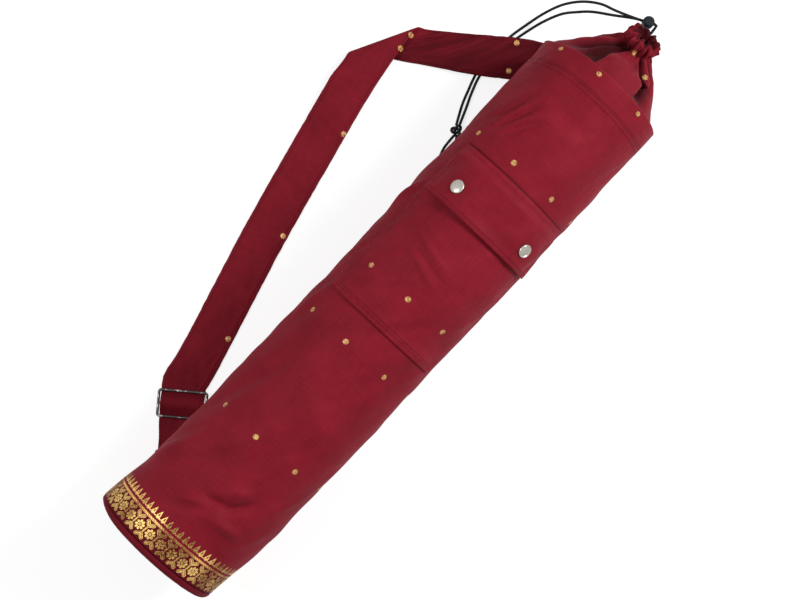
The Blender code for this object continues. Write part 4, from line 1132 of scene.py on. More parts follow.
def make_collar():
    """Hem round the top of the body: outer side, rolled rim and inner side in one loop."""
    low = BODY_END + GAP
    rim = COLLAR_WALL / 2
    turn = np.linspace(-math.pi / 2, math.pi / 2, 9)
    outer = np.linspace(low, COLLAR_TOP - rim, 16)
    inner = np.linspace(COLLAR_TOP - rim, low - 0.009, 10)
    lift = np.concatenate([
        np.zeros(15), -rim - rim * np.sin(turn), np.full(9, -COLLAR_WALL),
        [-CLOTH - GAP, -CLOTH - GAP],
    ])
    along = np.concatenate([
        outer[:-1], COLLAR_TOP - rim + rim * np.cos(turn), inner[1:], [low - 0.009, low],
    ])
    angle = np.linspace(math.pi, -math.pi, 221)[None, :]
    arc = angle * sizes().body_radius
    along = np.append(along, along[0])[:, None]
    lift = np.append(lift, lift[0])[:, None]
    wave = 0.0004 * noise(arc / 0.020 + 4.0, along / 0.015, 15) * ease((along - low) / 0.010)
    outside = ease((lift + COLLAR_WALL) / COLLAR_WALL)
    points = on_bag(along, angle, lift + (crease(along, arc) + wave) * outside)
    uv = np.stack(np.broadcast_arrays(-arc, along + lift), axis=-1)
    distances = (np.abs(along - low) + 0.0002)[:-1]
    attributes = with_edges(points[:-1, :-1], distances)
    collar = ring_surface("collar", points[:-1, :-1], uv, attributes)
    cloth = cloth_material("sari_cloth_collar", second_row=0.0062)
    sew(collar, cloth, "mouth_collar")


THROAT_OUTSIDE = np.array((
    (0.0000, 0.0712), (0.0180, 0.0712), (0.0265, 0.0668), (0.0380, 0.0575), (0.0520, 0.0475),
    (0.0640, 0.0385), (0.0735, 0.0270), (0.0790, 0.0190), (0.0830, 0.0184), (0.0880, 0.0198),
    (0.0925, 0.0188), (0.0950, 0.0150),
))
THROAT_INSIDE = np.array((
    (0.0945, 0.0104), (0.0880, 0.0078), (0.0825, 0.0078), (0.0765, 0.0140), (0.0640, 0.0345),
    (0.0520, 0.0440), (0.0380, 0.0550), (0.0265, 0.0650), (0.0170, 0.0696), (0.0000, 0.0696),
))
CHANNEL = (0.0880, 0.0140)


def throat_middle(distance):
    """Middle line of the throat: its tilt rises as THROAT_RISE ease((d - d0) / (d1 - d0))."""
    fine = np.linspace(0.0, 0.1, 401)
    first, last = THROAT_BEND
    tilt = THROAT_RISE * ease((fine - first) / (last - first))
    step = fine[1] - fine[0]
    x = THROAT_START + np.concatenate([[0.0], np.cumsum(np.cos(tilt[1:]) * step)])
    z = axis_height() + np.concatenate([[0.0], np.cumsum(np.sin(tilt[1:]) * step)])
    found = THROAT_RISE * ease((distance - first) / (last - first))
    return np.interp(distance, fine, x), np.interp(distance, fine, z), found


def throat_point(distance, angle, radius):
    """Point of the throat at a distance, an angle from its top and a radius."""
    x, z, tilt = throat_middle(distance)
    up = radius * np.cos(angle)
    points = (x - np.sin(tilt) * up + SEAM_X, radius * np.sin(angle), z + np.cos(tilt) * up)
    return np.stack(np.broadcast_arrays(*points), axis=-1)


def pleats(distance, angle):
    """Radial depth of the throat's pleats at a distance d and an angle a from its top.

    The front pleat overlaps its left side: it drops by D over 5 degrees from 2 before a0(d),
    stays down until 15 past it, and comes back in two steps, with a0(d) as in the photo.
    The other valleys are -depth exp(-((a - ai(d)) / w)^2), and the bunches at the mouth are
    sums of sines.
    """
    deg = np.degrees(angle)
    deep = sizes().pleat_depth
    grow = ease((distance - 0.016) / 0.030)
    fade = 1.0 - 0.60 * ease((distance - 0.072) / 0.008) - 0.40 * ease((distance - 0.079) / 0.006)
    middle = np.interp(distance, (0.022, 0.057, 0.072, 0.085), (21.0, 18.0, 17.0, 6.0))
    past = deg - middle
    front = ease((past + 2.0) / 5.0)
    front = front * (1.0 - 0.55 * ease((past - 15.0) / 17.0) - 0.45 * ease((past - 28.0) / 36.0))
    total = -deep * front * (0.45 + 0.55 * grow) * fade
    lift = np.exp(-((past + 14.0) / 16.0) ** 2)
    total = total + 0.30 * deep * lift * grow * fade
    valleys = (
        ((0.040, 0.048, 0.055, 0.068, 0.080), (-45, -50, -40, -42, -40), 8.0, 0.90),
        ((0.024, 0.030, 0.048, 0.060, 0.080), (-28, -33, -62, -70, -72), 6.5, 0.60),
        ((0.036, 0.050, 0.066), (10, -4, -22), 6.0, 0.22),
        ((0.020, 0.090), (62, 50), 9.0, 0.50), ((0.020, 0.090), (96, 84), 10.0, 0.55),
        ((0.020, 0.090), (134, 122), 10.0, 0.50), ((0.020, 0.090), (172, 168), 11.0, 0.45),
        ((0.020, 0.090), (-104, -98), 10.0, 0.55), ((0.020, 0.090), (-142, -136), 10.0, 0.50),
    )
    for places, angles, width, share in valleys:
        centre = np.interp(distance, places, angles)
        near = (deg - centre + 180.0) % 360.0 - 180.0
        total = total - deep * share * np.exp(-(near / width) ** 2) * grow * fade
    crumple = noise(distance / 0.011 + 3.0, deg / 15.0 + 30.0, 31)
    total = total + 0.0010 * crumple * grow * ease((math.pi - 0.1 - np.abs(angle)) / 0.3)
    bunch = np.sin(13.0 * angle + 1.6 * np.sin(2.0 * angle + 0.8)) * 0.55
    bunch = bunch + np.sin(23.0 * angle + 2.4 * np.sin(3.0 * angle)) * 0.45
    bunch = bunch + 0.35 * noise(distance / 0.0045 + 8.0, deg / 8.0 + 30.0, 32)
    return total + sizes().ruffle_depth * bunch * ease((distance - 0.068) / 0.012)


def make_throat():
    """Gathered throat: a loop of radii, from its foot out to the mouth and back inside."""
    cols = 288
    angle = np.linspace(math.pi, -math.pi, cols + 1)[None, :]
    out = np.concatenate([np.linspace(0.0, 0.070, 46), np.linspace(0.0715, 0.095, 26)])
    back = np.concatenate([np.linspace(0.0945, 0.0765, 14), np.linspace(0.072, 0.0, 18)])
    outside = np.interp(out, THROAT_OUTSIDE[:, 0], THROAT_OUTSIDE[:, 1])
    inside = np.interp(back, THROAT_INSIDE[::-1, 0], THROAT_INSIDE[::-1, 1])
    distance = np.concatenate([out, back, out[:1]])[:, None]
    radius = np.concatenate([outside, inside, outside[:1]])[:, None]
    share = np.concatenate([
        1.0 - 0.55 * ease((out - 0.0925) / 0.003),
        0.15 + 0.80 * ease((0.078 - back) / 0.008), [1.0],
    ])[:, None]
    depth = pleats(distance, angle) * share
    pulled = throat_point(distance, angle, np.maximum(radius + depth, 0.0062))
    ripple = 0.0022 * np.sin(9.0 * angle + 1.1) * ease((distance - 0.086) / 0.008)
    pulled[..., 0] += ripple * math.cos(THROAT_RISE)
    pulled[..., 2] += ripple * math.sin(THROAT_RISE)
    uv = np.stack(np.broadcast_arrays(-angle * 0.06, distance + 0.0 * angle), axis=-1)
    attributes = with_edges(pulled[:-1, :-1], 1.0)
    # Painted shade: deep in the pleats, and 0.85 over the throat's inside.
    inside = ease((distance - 0.0945) / 0.0005) + np.zeros_like(angle)
    inside[len(out):-1] = 1.0
    painted_shade = np.clip(-1.6 * depth / sizes().pleat_depth - 0.10, 0.0, 1.0)
    attributes["painted_shade"] = np.maximum(painted_shade, 0.85 * inside)[:-1, :-1]
    throat = ring_surface("gathers", pulled[:-1, :-1], uv, attributes)
    # Painted shade: the throat's cloth at 0.86.
    cloth = cloth_material("sari_cloth_throat", crumple=1.1, painted_light_scale=0.86, with_painted_shade=True)
    sew(throat, cloth, "gathered_throat")


def fullness(along, angle):
    """How far the pocket stands off the bag: F ease(2 t) (1 - q^2), q across the pocket."""
    across = (angle - POCKET_MIDDLE) / POCKET_HALF
    rise = ease((along - POCKET_BOTTOM) / (POCKET_MOUTH - POCKET_BOTTOM) * 2.0)
    return POCKET_FULLNESS * rise * np.maximum(0.0, 1.0 - across ** 2)


def from_snap(along, angle):
    """Distance to the nearer snap over the cloth."""
    gaps = [np.hypot(along - SNAP_X, (angle - snap) * sizes().body_radius) for snap in SNAP_ANGLES]
    return np.minimum(*gaps)


def pouch_lift(along, angle):
    """Outer side of the pocket, measured from the bag's skin."""
    arc = angle * sizes().body_radius
    calm = ease((from_snap(along, angle) - 0.008) / 0.016)
    slack = 0.0009 * noise(along / 0.034, arc / 0.026 + 3.3, 41)
    slack = slack + 0.0005 * noise((along + arc) / 0.016, (along - arc) / 0.05, 42)
    inner = ease((POCKET_HALF - np.abs(angle - POCKET_MIDDLE)) / 0.25)
    inner = inner * ease((along - POCKET_BOTTOM) / 0.02)
    return GAP + CLOTH + fullness(along, angle) + crease(along, arc) * calm + slack * inner * calm


def flap_lift(along, angle):
    """Outer side of the flap: over the pocket, swelling where it covers the closed snaps."""
    arc = angle * sizes().body_radius
    rest = POCKET_MOUTH + 0.0026
    past = ease((along - rest) / (FLAP_SEAM - rest))
    over = CLOTH + GAP + fullness(np.minimum(along, POCKET_MOUTH), angle)
    swell = ease((0.0316 - from_snap(along, angle)) / 0.0218)
    calm = ease((from_snap(along, angle) - 0.008) / 0.016)
    edge = ease((FLAP_EDGE + 0.016 - along) / 0.016)
    lifted = 0.0040 * edge * (0.6 + 0.5 * noise(arc / 0.03, along * 0.0, 47)) * calm
    over = over + (SNAP_STACK * swell + lifted) * (1.0 - past)
    settled = GAP + CLOTH + over * (1.0 - past)
    return settled + crease(along, arc) * calm + 0.0003 * calm * noise(along / 0.02, arc / 0.02, 44)


def make_pocket():
    """Pocket and flap: P = on_bag(s, a, lift(s, a)) over their own ranges of s and a."""
    along = np.linspace(POCKET_BOTTOM, POCKET_MOUTH, 110)[:, None]
    angle = np.linspace(POCKET_MIDDLE + POCKET_HALF, POCKET_MIDDLE - POCKET_HALF, 130)[None, :]
    points = on_bag(along, angle, pouch_lift(along, angle))
    radius = sizes().body_radius
    uv = np.stack(np.broadcast_arrays(-angle * radius, along), axis=-1)
    sides = (POCKET_HALF - np.abs(angle - POCKET_MIDDLE)) * radius
    edge = np.minimum(along - POCKET_BOTTOM, sides)
    attributes = with_edges(points, edge)
    pouch = shell("pocket", points, uv, CLOTH, False, attributes)
    # Painted light: the pocket's cloth at 1.04.
    cloth = cloth_material("sari_cloth_pocket", second_row=0.0072, painted_light_scale=1.04)
    sew(pouch, cloth, "pocket_pouch")

    along = np.linspace(FLAP_EDGE, FLAP_SEAM, 60)[:, None]
    angle = np.linspace(POCKET_MIDDLE + FLAP_HALF, POCKET_MIDDLE - FLAP_HALF, 130)[None, :]
    points = on_bag(along, angle, flap_lift(along, angle))
    uv = np.stack(np.broadcast_arrays(-angle * radius, along), axis=-1)
    sides = (FLAP_HALF - np.abs(angle - POCKET_MIDDLE)) * radius
    edge = np.minimum(np.minimum(along - FLAP_EDGE, (FLAP_SEAM - along) * 0.57), sides)
    attributes = with_edges(points, edge)
    # Painted shadow along the flap's top seam: 0.85 within about 2 mm of it.
    seam = 1.0 - ease((FLAP_SEAM - along - 0.0006) / 0.0018)
    attributes["painted_shade"] = 0.85 * seam * np.ones_like(points[..., 0])
    flap = shell("flap", points, uv, CLOTH, False, attributes)
    # Painted shade: the flap's cloth at 0.98.
    cloth = cloth_material("sari_cloth_flap", painted_light_scale=0.98, with_painted_shade=True)
    sew(flap, cloth, "pocket_flap")


def snap_frame(angle):
    """Place and axes of a snap's cap on the flap, with Z out of the cloth."""
    reach = 0.006
    turn = reach / sizes().body_radius

    def at(along, around):
        return Vector(on_bag(along, around, flap_lift(along, around)).tolist())

    along = at(SNAP_X + reach, angle) - at(SNAP_X - reach, angle)
    across = at(SNAP_X, angle + turn) - at(SNAP_X, angle - turn)
    out = along.cross(across).normalized()
    if out.z < 0:
        out = -out
    third = out.cross(along).normalized()
    axes = Matrix((third.cross(out), third, out)).transposed().to_4x4()
    return Matrix.Translation(at(SNAP_X, angle) + out * 0.0001) @ axes


def make_snaps():
    """Snap caps: a domed one, h = (H - h0) cos(t) + h0 at r = R sin(t), and a flat rimmed one."""
    turn = np.linspace(0.0, math.pi / 2, 14)
    dome = np.stack([
        np.maximum(0.0075 * np.sin(turn), 1e-5), 0.0009 + 0.0020 * np.cos(turn),
    ], axis=1)
    flat = np.array((
        (1e-5, 0.0015), (0.0020, 0.0015), (0.0048, 0.0014), (0.0054, 0.0012), (0.0058, 0.0013),
        (0.0062, 0.0019), (0.0068, 0.0021), (0.0073, 0.0017), (0.0075, 0.0010),
    ))
    base = np.array(((0.0075, 0.0), (0.0040, 0.0), (1e-5, 0.0)))
    for number, (angle, top) in enumerate(zip(SNAP_ANGLES, (dome, flat)), start=1):
        profile = np.vstack([top, base])
        round_it = np.linspace(0.0, math.tau, 57)[None, :]
        radius = np.append(profile[:, 0], profile[0, 0])[:, None]
        height = np.append(profile[:, 1], profile[0, 1])[:, None] + 0.0 * round_it
        local = np.stack([radius * np.cos(round_it), radius * np.sin(round_it), height], axis=-1)
        place = np.array(snap_frame(angle))
        points = local[:-1, ::-1][:, :-1] @ place[:3, :3].T + place[:3, 3]
        cap = ring_surface(f"snap_cap_shown_{number}", points, local[:, ::-1, :2])
        metal = metal_material("worn_nickel", colours().nickel, 0.22)
        finish_piece(cap, metal, "bag", "bright_nickel", (f"snap_cap_{number}",))


# Strap and fittings


def slider_line():
    """Direction of the strap through the slider, and the direction across it."""
    along = Vector((-math.cos(SLIDER_HEADING), -math.sin(SLIDER_HEADING), 0.0))
    return along, Vector((along.y, -along.x, 0.0))


def strap_rulings():
    """Middles and half rulings of the strap, from the collar to its sewn end.

    It runs under the collar over the cords, turns over a slanting fold, narrows to the
    slider, passes its centre bar, turns round the ring and comes back to the centre bar.
    """
    half = sizes().strap_width / 2
    floor = STRAP_THICKNESS / 2 + FLOOR_CLEAR
    heading = (STRAP_FOLD - STRAP_SEAM).normalized()
    skew = abs(heading.cross(STRAP_FOLD_LINE).z)
    fold_half = -STRAP_FOLD_LINE * half / skew
    seam_half = Vector((1.0, 0.0, 0.0)) * half / abs(heading.y)
    square_half = Vector((heading.y, -heading.x, 0.0)) * half
    middles = []
    halves = []
    under = catmull([STRAP_SEAM, *STRAP_UNDER, STRAP_FOLD], STRAP_STEP_UNDER)
    for i, place in enumerate(under):
        t = i / (len(under) - 1)
        middle = Vector(place)
        if t < STRAP_SQUARE_AT:
            half_ruling = seam_half.lerp(square_half, float(ease(t / STRAP_SQUARE_AT)))
        else:
            share = (t - STRAP_SQUARE_AT) / (1.0 - STRAP_SQUARE_AT)
            half_ruling = square_half.lerp(fold_half, float(ease(share)))
        inside = CORD_CROSSING_REACH - abs(middle.y - CORD_CROSSING)
        middle.z = floor + CORD_CROSSING_RISE * float(ease(inside / CORD_CROSSING_RAMP))
        middles.append(middle)
        halves.append(half_ruling)
    across = Vector((-STRAP_FOLD_LINE.y, STRAP_FOLD_LINE.x, 0.0))
    if across.dot(heading) < 0:
        across = -across
    drift = math.pi * STRAP_FOLD_RADIUS * STRAP_FOLD_LINE.dot(heading) / skew
    low = middles[-1].z
    for t in np.linspace(0.0, 1.0, 15)[1:]:
        turn = math.pi * t
        middle = STRAP_FOLD + across * STRAP_FOLD_RADIUS * math.sin(turn)
        middle = middle + STRAP_FOLD_LINE * drift * t
        middle.z = low + STRAP_FOLD_RADIUS * (1.0 - math.cos(turn))
        middles.append(middle)
        halves.append(fold_half.copy())

    along, side = slider_line()
    bar = SLIDER_SIZE[1] / 2 - SLIDER_SIZE[2] / 2
    start = middles[-1]
    entry = SLIDER_CENTRE - along * bar
    route = [(start.x, start.y, 0.0)] + [(x, y, 0.0) for x, y in STRAP_RUN]
    route += [entry - along * STRAP_APPROACH, entry]
    path = catmull(route, STRAP_STEP)
    travelled = 0.0
    for i in range(1, len(path)):
        here = Vector(path[i])
        travelled += float(np.linalg.norm(path[i] - path[i - 1]))
        ahead = Vector(path[min(i + 1, len(path) - 1)] - path[i - 1]).normalized()
        square = Vector((-ahead.y, ahead.x, 0.0))
        if square.dot(fold_half) < 0:
            square = -square
        narrowing = float(ease(1.0 - (entry - here).length / STRAP_NARROWING))
        width = 2 * half + (STRAP_AT_SLIDER - 2 * half) * narrowing
        skewed = 1.0 - float(ease(travelled / STRAP_UNSKEWING))
        halves.append((square * width / 2).lerp(fold_half, skewed))
        landed = float(ease((travelled - STRAP_LANDING[0]) / STRAP_LANDING[1]))
        here.z = start.z + (floor - start.z) * landed
        middles.append(here)

    if side.dot(halves[-1]) < 0:
        side = -side
    for distance, height in slider_profile(floor, bar):
        middle = SLIDER_CENTRE + along * distance
        middle.z = height
        middles.append(middle)
        narrowing = float(ease((distance - 0.018) / 0.025))
        halves.append(side * (STRAP_AT_SLIDER + (STRAP_AT_RING - STRAP_AT_SLIDER) * narrowing) / 2)
    return np.array([tuple(p) for p in middles]), np.array([tuple(p) for p in halves])


def slider_profile(floor, bar):
    """Side view of the strap past the slider's first bar: distances and heights."""
    second = floor + STRAP_THICKNESS + GAP
    wire = SLIDER_SIZE[2]
    slider_height = second + STRAP_THICKNESS / 2 + GAP + wire / 2
    ring_height = floor + STRAP_THICKNESS / 2 + GAP + RING_SIZE[2] / 2
    hump = slider_height + wire / 2 + 2 * GAP + STRAP_THICKNESS * 1.5
    wrap = RING_SIZE[2] / 2 + GAP + STRAP_THICKNESS / 2
    loop = wire / 2 + GAP + STRAP_THICKNESS / 2
    points = []
    for t in np.linspace(0.0, 1.0, 17)[1:]:
        rise = (1 - math.cos(math.pi * t)) / 2
        points.append((-bar * (1 - t), floor + (hump - floor) * rise))
    for t in np.linspace(0.0, 1.0, 17)[1:]:
        fall = (1 + math.cos(math.pi * t)) / 2
        points.append((bar * t, second + (hump - second) * fall))
    ring_top = ring_height + wrap
    for t in np.linspace(0.0, 1.0, 13)[1:]:
        up = float(ease(t * 1.4 - 0.4))
        points.append((bar + (RING_DISTANCE - bar) * t, second + (ring_top - second) * up))
    for t in np.linspace(0.0, math.pi, 17)[1:]:
        points.append((RING_DISTANCE + wrap * math.sin(t), ring_height + wrap * math.cos(t)))
    low = slider_height - loop
    for t in np.linspace(0.0, 1.0, 13)[1:]:
        points.append((RING_DISTANCE * (1 - t), floor + (low - floor) * float(ease(t * 3.0 - 2.0))))
    for t in np.linspace(0.0, math.pi, 17)[1:]:
        points.append((-loop * math.sin(t), slider_height - loop * math.cos(t)))
    for t in np.linspace(0.0, 1.0, 5)[1:]:
        points.append((STRAP_TAIL * t, slider_height + loop - STRAP_TAIL_DROP * float(ease(t))))
    return points


def underside(y, lift):
    """Height of the bag's underside over the floor, at a distance from its axis."""
    radius = sizes().body_radius + lift
    inside = np.sqrt(np.maximum(radius ** 2 - y ** 2, 0.0))
    return np.where(np.abs(y) >= radius, axis_height(), np.maximum(axis_height() - inside, -lift))


def strap_creases(travel, share, under):
    """Height of the strap's creases, by distance t along it and share w across it.

    It is C |n((t + 26 mm w) / 10.5 mm, 0.9 w)|^0.7 up to the fold, and past it
    C (0.36 (0.35 n(t / 22 mm, 1.3 w) + 0.35) + 0.62 |n((t - 12 mm w) / 7.5 mm, ...)|^0.8).
    """
    slant = (travel + 0.026 * share) / 0.0105
    deep = np.abs(noise(slant + 5.0, share * 0.9 + 9.0, 61)) ** 0.7
    shallow = 0.35 * noise(travel / 0.022, share * 1.3 + 4.0, 62) + 0.35
    drift = (travel - 0.012 * share) / 0.0075
    short = np.abs(noise(drift + 2.0, share * 1.1 + travel / 0.05, 63)) ** 0.8
    return sizes().strap_crease * (deep * under + (0.36 * shallow + 0.62 * short) * (1.0 - under))


def make_strap():
    """One sewn band: P = middle + share half + h z, with its creases and pressed edges."""
    middles, halves = strap_rulings()
    share = np.linspace(-1.0, 1.0, 29)
    points = middles[:, None, :] + halves[:, None, :] * share[None, :, None]
    steps = np.linalg.norm(np.diff(middles, axis=0), axis=1)
    travel = np.concatenate([[0.0], np.cumsum(steps)])[:, None]
    fold_at = path_length(catmull([STRAP_SEAM, *STRAP_UNDER, STRAP_FOLD], STRAP_STEP_UNDER))
    slider_at = float(travel[-1, 0]) - 0.150
    under = 1.0 - ease((travel - fold_at + 0.020) / 0.012)
    on_top = ease((travel - fold_at - 0.03) / 0.04)
    on_top = on_top * (1.0 - ease((travel - slider_at + 0.01) / 0.03))
    calm = ease(travel / 0.010) * (under + on_top)
    height = strap_creases(travel, share[None, :], under) * calm
    height = height * ease((1.0 - np.abs(share)) / 0.10 + 0.1)
    points[..., 2] += height
    clear = underside(points[..., 1], STRAP_THICKNESS / 2 + 1.5 * GAP)
    beneath = (points[..., 0] > 0.5 * BODY_END) & (points[..., 1] < sizes().body_radius)
    floor = STRAP_THICKNESS / 2 + FLOOR_CLEAR
    lowered = np.maximum(np.minimum(points[..., 2], clear), floor)
    points[..., 2] = np.where(beneath, lowered, points[..., 2])
    across = np.linalg.norm(halves, axis=1)[:, None]
    uv = np.stack(np.broadcast_arrays(share[None, :] * across, travel), axis=-1)
    edge = (1.0 - np.abs(share[None, :])) * across
    outer = points + SEAM_X * np.array([1.0, 0.0, 0.0])
    tangent = np.gradient(outer, axis=0)
    normal = np.cross(np.gradient(outer, axis=1), tangent)
    normal /= np.maximum(np.linalg.norm(normal, axis=2, keepdims=True), 1e-12)
    top = outer + normal * STRAP_THICKNESS / 2
    attributes = with_edges(points, edge)
    # The part before the fold is darker by 0.30 throughout, and the crease valleys carry painted shade: up to 0.45 more
    # before the fold, and 0.12 past it.
    valley = 1.0 - np.clip(height / (1.2 * sizes().strap_crease), 0.0, 1.0)
    attributes["painted_shade"] = (0.30 + 0.45 * valley) * under + 0.12 * valley * (1.0 - under)
    strap = shell("strap", top, uv, STRAP_THICKNESS, False, attributes)
    # Painted shade: the strap's cloth at 0.94.
    cloth = cloth_material("sari_cloth_strap", painted_light_scale=0.94, crumple=1.2, stitch=0.0035,
                           with_painted_shade=True)
    sew(strap, cloth, "shoulder_strap")


def wire_path(length, width, wire, centre):
    """Rounded rectangle of wire round a centre, square to the slider's line."""
    corner = wire * 0.9
    x = width / 2 - wire / 2
    y = length / 2 - wire / 2
    flat = []
    for cx, cy, first in ((x, y, 0.0), (-x, y, 0.5), (-x, -y, 1.0), (x, -y, 1.5)):
        for t in np.linspace(0.0, 0.5, 9):
            turn = math.pi * (first + t)
            flat.append((
                math.copysign(x - corner, cx) + corner * math.cos(turn),
                math.copysign(y - corner, cy) + corner * math.sin(turn),
            ))
    along, _ = slider_line()
    side = Vector((0, 0, 1)).cross(along)
    points = [centre + along * a + side * b for a, b in flat]
    return np.array([tuple(point) for point in points])


def make_hardware():
    """Slider with its centre bar, and the ring: round wire bent to rounded rectangles."""
    floor = STRAP_THICKNESS / 2 + FLOOR_CLEAR
    along, _ = slider_line()
    shift = Vector((SEAM_X, 0.0, 0.0))
    slider_height = floor + STRAP_THICKNESS * 1.5 + 2 * GAP + SLIDER_SIZE[2] / 2
    ring_height = floor + STRAP_THICKNESS / 2 + GAP + RING_SIZE[2] / 2
    metal = metal_material("dark_plating", colours().dark_nickel, 0.26, streaks=4.0)

    centre = SLIDER_CENTRE + shift + Vector((0, 0, slider_height))
    loop = tube("slider_frame", wire_path(*SLIDER_SIZE, centre), SLIDER_SIZE[2] / 2, 16, True)
    finish_piece(loop, metal, "bag", "dark_nickel", ("strap_slider",))
    side = Vector((0, 0, 1)).cross(along) * (SLIDER_SIZE[0] / 2 - SLIDER_SIZE[2] / 2)
    ends = np.array([tuple(centre + side), tuple(centre), tuple(centre - side)])
    bar = tube("slider_bar", ends, SLIDER_SIZE[2] / 2 - 0.0002, 16)
    finish_piece(bar, metal, "bag", "dark_nickel")

    bar_offset = RING_SIZE[1] / 2 - RING_SIZE[2] / 2
    centre = SLIDER_CENTRE + shift + along * (RING_DISTANCE + bar_offset)
    centre.z = ring_height
    ring = tube("ring_frame", wire_path(*RING_SIZE, centre), RING_SIZE[2] / 2, 16, True)
    finish_piece(ring, metal, "bag", "dark_nickel", ("strap_ring",))


# Cords


def make_cord(name, path, nodes):
    """Free cord along a path of points, in black braid."""
    made = tube(name, path, sizes().cord_diameter / 2, 12)
    return finish_piece(made, cord_material("black_braid"), "bag", "black_cord", nodes)


def path_length(path):
    """Length of a path of points."""
    return float(np.linalg.norm(np.diff(path, axis=0), axis=1).sum())


def knot_port(side, end):
    """Where a cord meets the knot: left or right of its middle, behind or ahead of it."""
    left = Vector((0, 0, 1)).cross(KNOT_HEADING) * -side * CORD_STACK
    along = KNOT_HEADING * end * (KNOT_LENGTH / 2 + GAP / 2)
    return KNOT_CENTRE + along + left - Vector((0, 0, 0.0010))


def make_cords():
    """Two strands from the mouth through the lock to the knot, the knot and two tails.

    The knot is a trefoil: x = 2 sin 2t + sin t, y = cos t - 2 cos 2t, z = -1.2 sin 3t.
    """
    shift = Vector((SEAM_X, 0.0, 0.0))
    leave = Vector(throat_point(CHANNEL[0], math.pi, CHANNEL[1]).tolist()) - shift
    centre = leave + LOCK_FROM_EXIT
    before = centre - LOCK_HEADING * 0.0068
    after = centre + LOCK_HEADING * 0.0149
    bend = Vector((before.x + 0.0003, leave.y + 0.0012, leave.z))
    head = (leave, leave + Vector((0.0080, 0.0, 0.0)), bend, before, centre, after)
    strands = []
    for name, side, route, node in (
        ("outer_strand", 1, OUTER_ROUTE, "cord_strand_outer"),
        ("inner_strand", -1, INNER_ROUTE, "cord_strand_inner"),
    ):
        lift = Vector((0.0, 0.0, side * CORD_STACK))
        points = [p + lift for p in head] + [Vector(p) for p in route] + [knot_port(side, -1)]
        path = catmull([p + shift for p in points], 0.0035)
        strands.append((make_cord(name, path, (node,)), path))

    turn = np.linspace(0.0, math.tau, 65)[:-1]
    ring = throat_point(CHANNEL[0], turn, CHANNEL[1])
    loop = tube("channel_cord", ring, sizes().cord_diameter / 2, 12, True)
    finish_piece(loop, cord_material("black_braid"), "bag", "black_cord", ("drawcord_loop",))

    t = np.linspace(0.0, math.tau, 121)[:-1]
    flat = np.stack([
        np.sin(t) + 2 * np.sin(2 * t), np.cos(t) - 2 * np.cos(2 * t), -1.2 * np.sin(3 * t),
    ])
    heading = math.atan2(KNOT_HEADING.y, KNOT_HEADING.x)
    x = 0.00205 * flat[0]
    y = 0.00180 * flat[1]
    knot_path = np.stack([
        KNOT_CENTRE.x + SEAM_X + x * math.cos(heading) - y * math.sin(heading),
        KNOT_CENTRE.y + x * math.sin(heading) + y * math.cos(heading),
        KNOT_CENTRE.z + 0.0013 * flat[2],
    ], axis=1)
    knot = tube("knot", knot_path, 0.00165, 10, True)
    finish_piece(knot, cord_material("black_braid"), "bag", "black_cord", ("cord_knot",))
    for piece, path in strands:
        others = (knot,) if piece is strands[0][0] else ()
        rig.cord(piece, path[0].tolist(), path_length(path), sizes().cord_diameter, "knot",
                "medium", "loose", path=path.tolist(), with_pieces=others)
    for number, (side, route) in enumerate(zip((1, -1), TAIL_ROUTES), start=1):
        points = [knot_port(side, 1)] + [Vector(p) for p in route]
        path = catmull([p + shift for p in points], 0.0035)
        tail = make_cord(f"tail_{number}", path, (f"cord_tail_{number}",))
        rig.cord(tail, path[0].tolist(), path_length(path), sizes().cord_diameter, "bare",
                "medium", "loose", path=path.tolist())


# Woven dots


def dot_outline(rings=5, spokes=32):
    """Offsets of a dot's points: r (0.86 + 0.14 cos 8 f), and their height 1 - r^2."""
    share = np.linspace(0.0, 1.0, rings)[:, None]
    turn = np.linspace(0.0, math.tau, spokes + 1)[:-1][None, :]
    radius = sizes().dot_diameter / 2 * share * (0.86 + 0.14 * np.cos(8 * turn))
    return radius * np.cos(turn), radius * np.sin(turn), (1.0 - share ** 2) + 0.0 * turn


